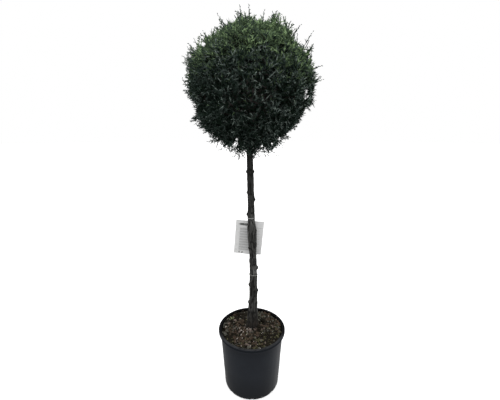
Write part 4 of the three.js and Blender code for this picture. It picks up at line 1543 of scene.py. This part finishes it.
def add_twigs(masses, branches, groups):
    """The stems, the branches and the bare lower part of each spray's axis, as round limbs on curves."""
    wood = finish("twig_bark", plain((0.02, 0.016, 0.012), 0.85))
    stems = np.array([stem_curve(mass) for mass in masses]).transpose(1, 0, 2)
    thick = np.array([mass.radius * BOUGH.taper for mass in masses])[:, None]
    axes = [(sprays.start, sprays.control, sprays.tip) for sprays, _ in groups]
    spray_axes = [np.concatenate(each) for each in zip(*axes)]
    # name, curves, the way along them, the radius at the foot and at the end, and sides
    limb_kinds = [
        ("stems", stems, np.linspace(0, 1, 12), thick, thick * STEM.taper, 9),
        ("branches", branches, np.linspace(0, BRANCH.drawn, 10), BRANCH.foot, BRANCH.tip, 5),
        ("twigs", spray_axes, np.linspace(0, TWIG.drawn, 4), TWIG.foot, TWIG.tip, 3),
    ]
    for name, curves, t, foot, end, sides in limb_kinds:
        every_way = np.broadcast_to(t, (len(curves[0]), len(t)))
        paths = bent(*(np.asarray(each)[:, None] for each in curves), every_way)
        open_sky = ~in_sky_gap(paths.reshape(-1, 3)).reshape(paths.shape[:2]).any(axis=1)
        radii = mix(foot, end, t[None]) + np.zeros((len(paths), 1))
        points, faces = limbs(paths[open_sky], radii[open_sky], sides)
        add_piece(f"crown_{name}", points, faces, wood)


def crown(bark_finish):
    """The boughs, and on them the branches, twigs and sprays of each kind."""
    masses = crown_masses()
    for mass in masses:
        if mass.height is not None:
            bough(mass, bark_finish)
    sprigs = sprig_axes(masses)
    branches = branch_curves(masses, sprigs)
    groups = [(spray_curves(kind, sprigs, branches), kind) for kind in KINDS]
    groups.append((sprig_sprays(sprigs, branches, ~sprigs.slim & ~sprigs.broad), CLIPPED))
    groups.append((sprig_sprays(sprigs, branches, sprigs.broad, 4), PLUMES))
    groups.append((sprig_sprays(sprigs, branches, sprigs.slim), SHOOTS))
    add_twigs(masses, branches, groups)
    add_sprays(groups, [f"foliage_{mass.name}" for mass in masses])


# Tag and tie

def band(name, height, material, replaced):
    """A soft band round the trunk: a rounded oblong carried once round a ring that clears the bark and is
    tipped up at the front."""
    angle = full_turn(BAND.columns)
    section = full_turn(BAND.corners)
    power = BAND.squareness
    squared = 1 / (np.abs(np.cos(section)) ** power + np.abs(np.sin(section)) ** power) ** (1 / power)
    out = BAND.thickness / 2 * squared * np.cos(section)
    up = BAND.height / 2 * squared * np.sin(section)
    ripple = BAND.ripple * np.sin(BAND.ripples * angle + height / BAND.ripple_height)
    radius = trunk_radius(height) + BAND.slack + BAND.thickness / 2 + ripple + out[:, None]
    level = height + up[:, None] - BAND.tilt * np.sin(angle + BAND.tilt_turn)
    points = round_axis(radius, angle, level)
    points[..., :2] += trunk_axis(height)
    faces = grid_faces(len(section), len(angle), closed_rows=True)
    add_piece(name, points.reshape(-1, 3), [faces], material, replaced)


def hung(points):
    """Points of the tag in its own plane, set as it hangs: swung to one side, leaned over the trunk's
    swelling and put behind the trunk."""
    swing, lean = np.radians([TAG.swing, TAG.lean])
    x, y, z = np.moveaxis(points, -1, 0)
    x, z = x * np.cos(swing) + z * np.sin(swing), z * np.cos(swing) - x * np.sin(swing)
    y, z = y * np.cos(lean) - z * np.sin(lean), y * np.sin(lean) + z * np.cos(lean)
    axis = trunk_axis(TAG.strap_height)
    behind = axis[1] + trunk_radius(TAG.strap_height) + BAND.slack + BAND.thickness
    return np.stack([x + axis[0], y + behind, z + TAG.strap_height], -1)


def card_sheet(name, half_width, rows, columns, aside, material, replaced):
    """A thin card, width against height, with a slow curl. half_width gives the half width at each row's
    height, so that corners are round, aside moves it sideways, and Solidify gives the thickness."""
    x = half_width[:, None] * np.linspace(-1, 1, columns)
    z = rows[:, None] + np.zeros_like(x)
    share = x / (TAG.width / 2)
    ripple = TAG.ripple * np.sin(z / TAG.ripple_length + TAG.ripple_slant * share)
    curl = TAG.curl * share ** 2 + ripple * np.abs(share)
    points = hung(np.stack([x + aside, curl, z], -1)).reshape(-1, 3)
    low, high = rows.min(), rows.max()
    uv = np.stack([share / 2 + 0.5, (z - low) / (high - low)], -1).reshape(-1, 2)
    faces = grid_faces(len(rows), columns, False)
    made = add_piece(name, points, [faces], material, replaced, uv=uv)
    solid = made.modifiers.new("thickness", "SOLIDIFY")
    solid.thickness = TAG.thickness * MM
    solid.offset = -1


def tag():
    """A card with round corners, the neck that it hangs from, and its strap."""
    top = -TAG.drop
    bottom = top - TAG.height
    rise = TAG.corner * (1 - np.cos(np.linspace(0, np.pi / 2, 6)))
    rows = np.sort(np.concatenate([bottom + rise, np.linspace(bottom, top, 26)[1:-1], top - rise]))
    into_corner = np.maximum(0, np.abs(rows - (top + bottom) / 2) - (TAG.height / 2 - TAG.corner))
    half = TAG.width / 2 - TAG.corner + np.sqrt(np.maximum(TAG.corner ** 2 - into_corner ** 2, 0))
    card_sheet("tag_card", half, rows, 33, TAG.aside, finish("ruled_card", ruled_card), ["tag"])
    strap = finish("tag_strap", soft_tie((0.46, 0.47, 0.45)))
    neck_rows = np.linspace(top - TAG.neck_overlap, BAND.height / 2, 8)
    card_sheet("tag_neck", np.full(8, TAG.neck / 2), neck_rows, 5, 0, strap, [])
    band("tag_strap", TAG.strap_height, strap, [])


# Floor, light and camera

FLOOR = Sizes(radius=40_000, drop=0.5, sides=64, white=(0.93, 0.93, 0.93), glow=0.35)
LIGHT = Sizes(
    horizon=0.82,
    zenith=0.8,
    edge=0.06,
    far=0.5,
    far_zone=(0.2, 0.9),
    below=0.3,
    behind=0.6,
    behind_zone=(-0.1, 0.9),
    behind_turn=0.35,
)


def floor():
    """A wide flat disc just under the pot. The camera sees it, and it throws no light back on the plant."""
    points = round_axis(FLOOR.radius, full_turn(FLOOR.sides), -FLOOR.drop) * MM
    mesh = bpy.data.meshes.new("floor")
    mesh.from_pydata(points.tolist(), [], [list(range(FLOOR.sides))])
    mesh.materials.append(finish("paper_floor", paper))
    made = bpy.data.objects.new("floor", mesh)
    bpy.context.scene.collection.objects.link(made)
    made.visible_diffuse = False
    made.visible_glossy = False


def sky():
    """Soft light from all round: brightest overhead, weaker at the horizon and weak below, and stronger on
    the far side. The camera sees plain white."""
    world = bpy.data.worlds.new("soft_studio")
    world.use_nodes = True
    world.node_tree.nodes.clear()
    start = Wire(world.node_tree)
    towards = start.node("ShaderNodeTexCoord", output="Generated")
    right, back, up = (part_of(towards, i) for i in range(3))
    above = stepped(up, -LIGHT.edge, LIGHT.edge)
    overhead = start.math("MAXIMUM", up)
    over = LIGHT.horizon + LIGHT.zenith * overhead + LIGHT.far * stepped(back, *LIGHT.far_zone)
    behind = stepped(back + LIGHT.behind_turn * right, *LIGHT.behind_zone)
    under = LIGHT.below + LIGHT.behind * behind
    strength = above * over + (1 - above) * under
    seen = start.node("ShaderNodeLightPath", output="Is Camera Ray")
    strength = seen + (1 - seen) * strength
    shade = start.node("ShaderNodeBackground", {}, {"Color": opaque((1, 1, 1)), "Strength": strength})
    start.node("ShaderNodeOutputWorld", {}, {"Surface": shade})
    bpy.context.scene.world = world


def camera():
    """The photograph's view."""
    data = bpy.data.cameras.new("camera")
    data.sensor_width = CAMERA.sensor
    data.lens = CAMERA.focal_pixels / CAMERA.width_pixels * CAMERA.sensor
    made = bpy.data.objects.new("camera", data)
    made.location = np.array(CAMERA.place) * MM
    made.rotation_euler = (np.radians(90 - CAMERA.pitch), 0, 0)
    bpy.context.scene.collection.objects.link(made)
    bpy.context.scene.camera = made


camera()
floor()
sky()
bpy.context.scene.view_settings.view_transform = "Standard"
bark_finish = finish("bark", bark)
pot()
pot_lip()
potting_mix()
for kind in MULCH:
    mulch_chips(*kind)
for kind in LITTER:
    litter(*kind)
trunk(bark_finish)
crown(bark_finish)
tag()
band("tie_band", TIE_HEIGHT, finish("tie", soft_tie((0.3, 0.3, 0.28))), ["tie"])
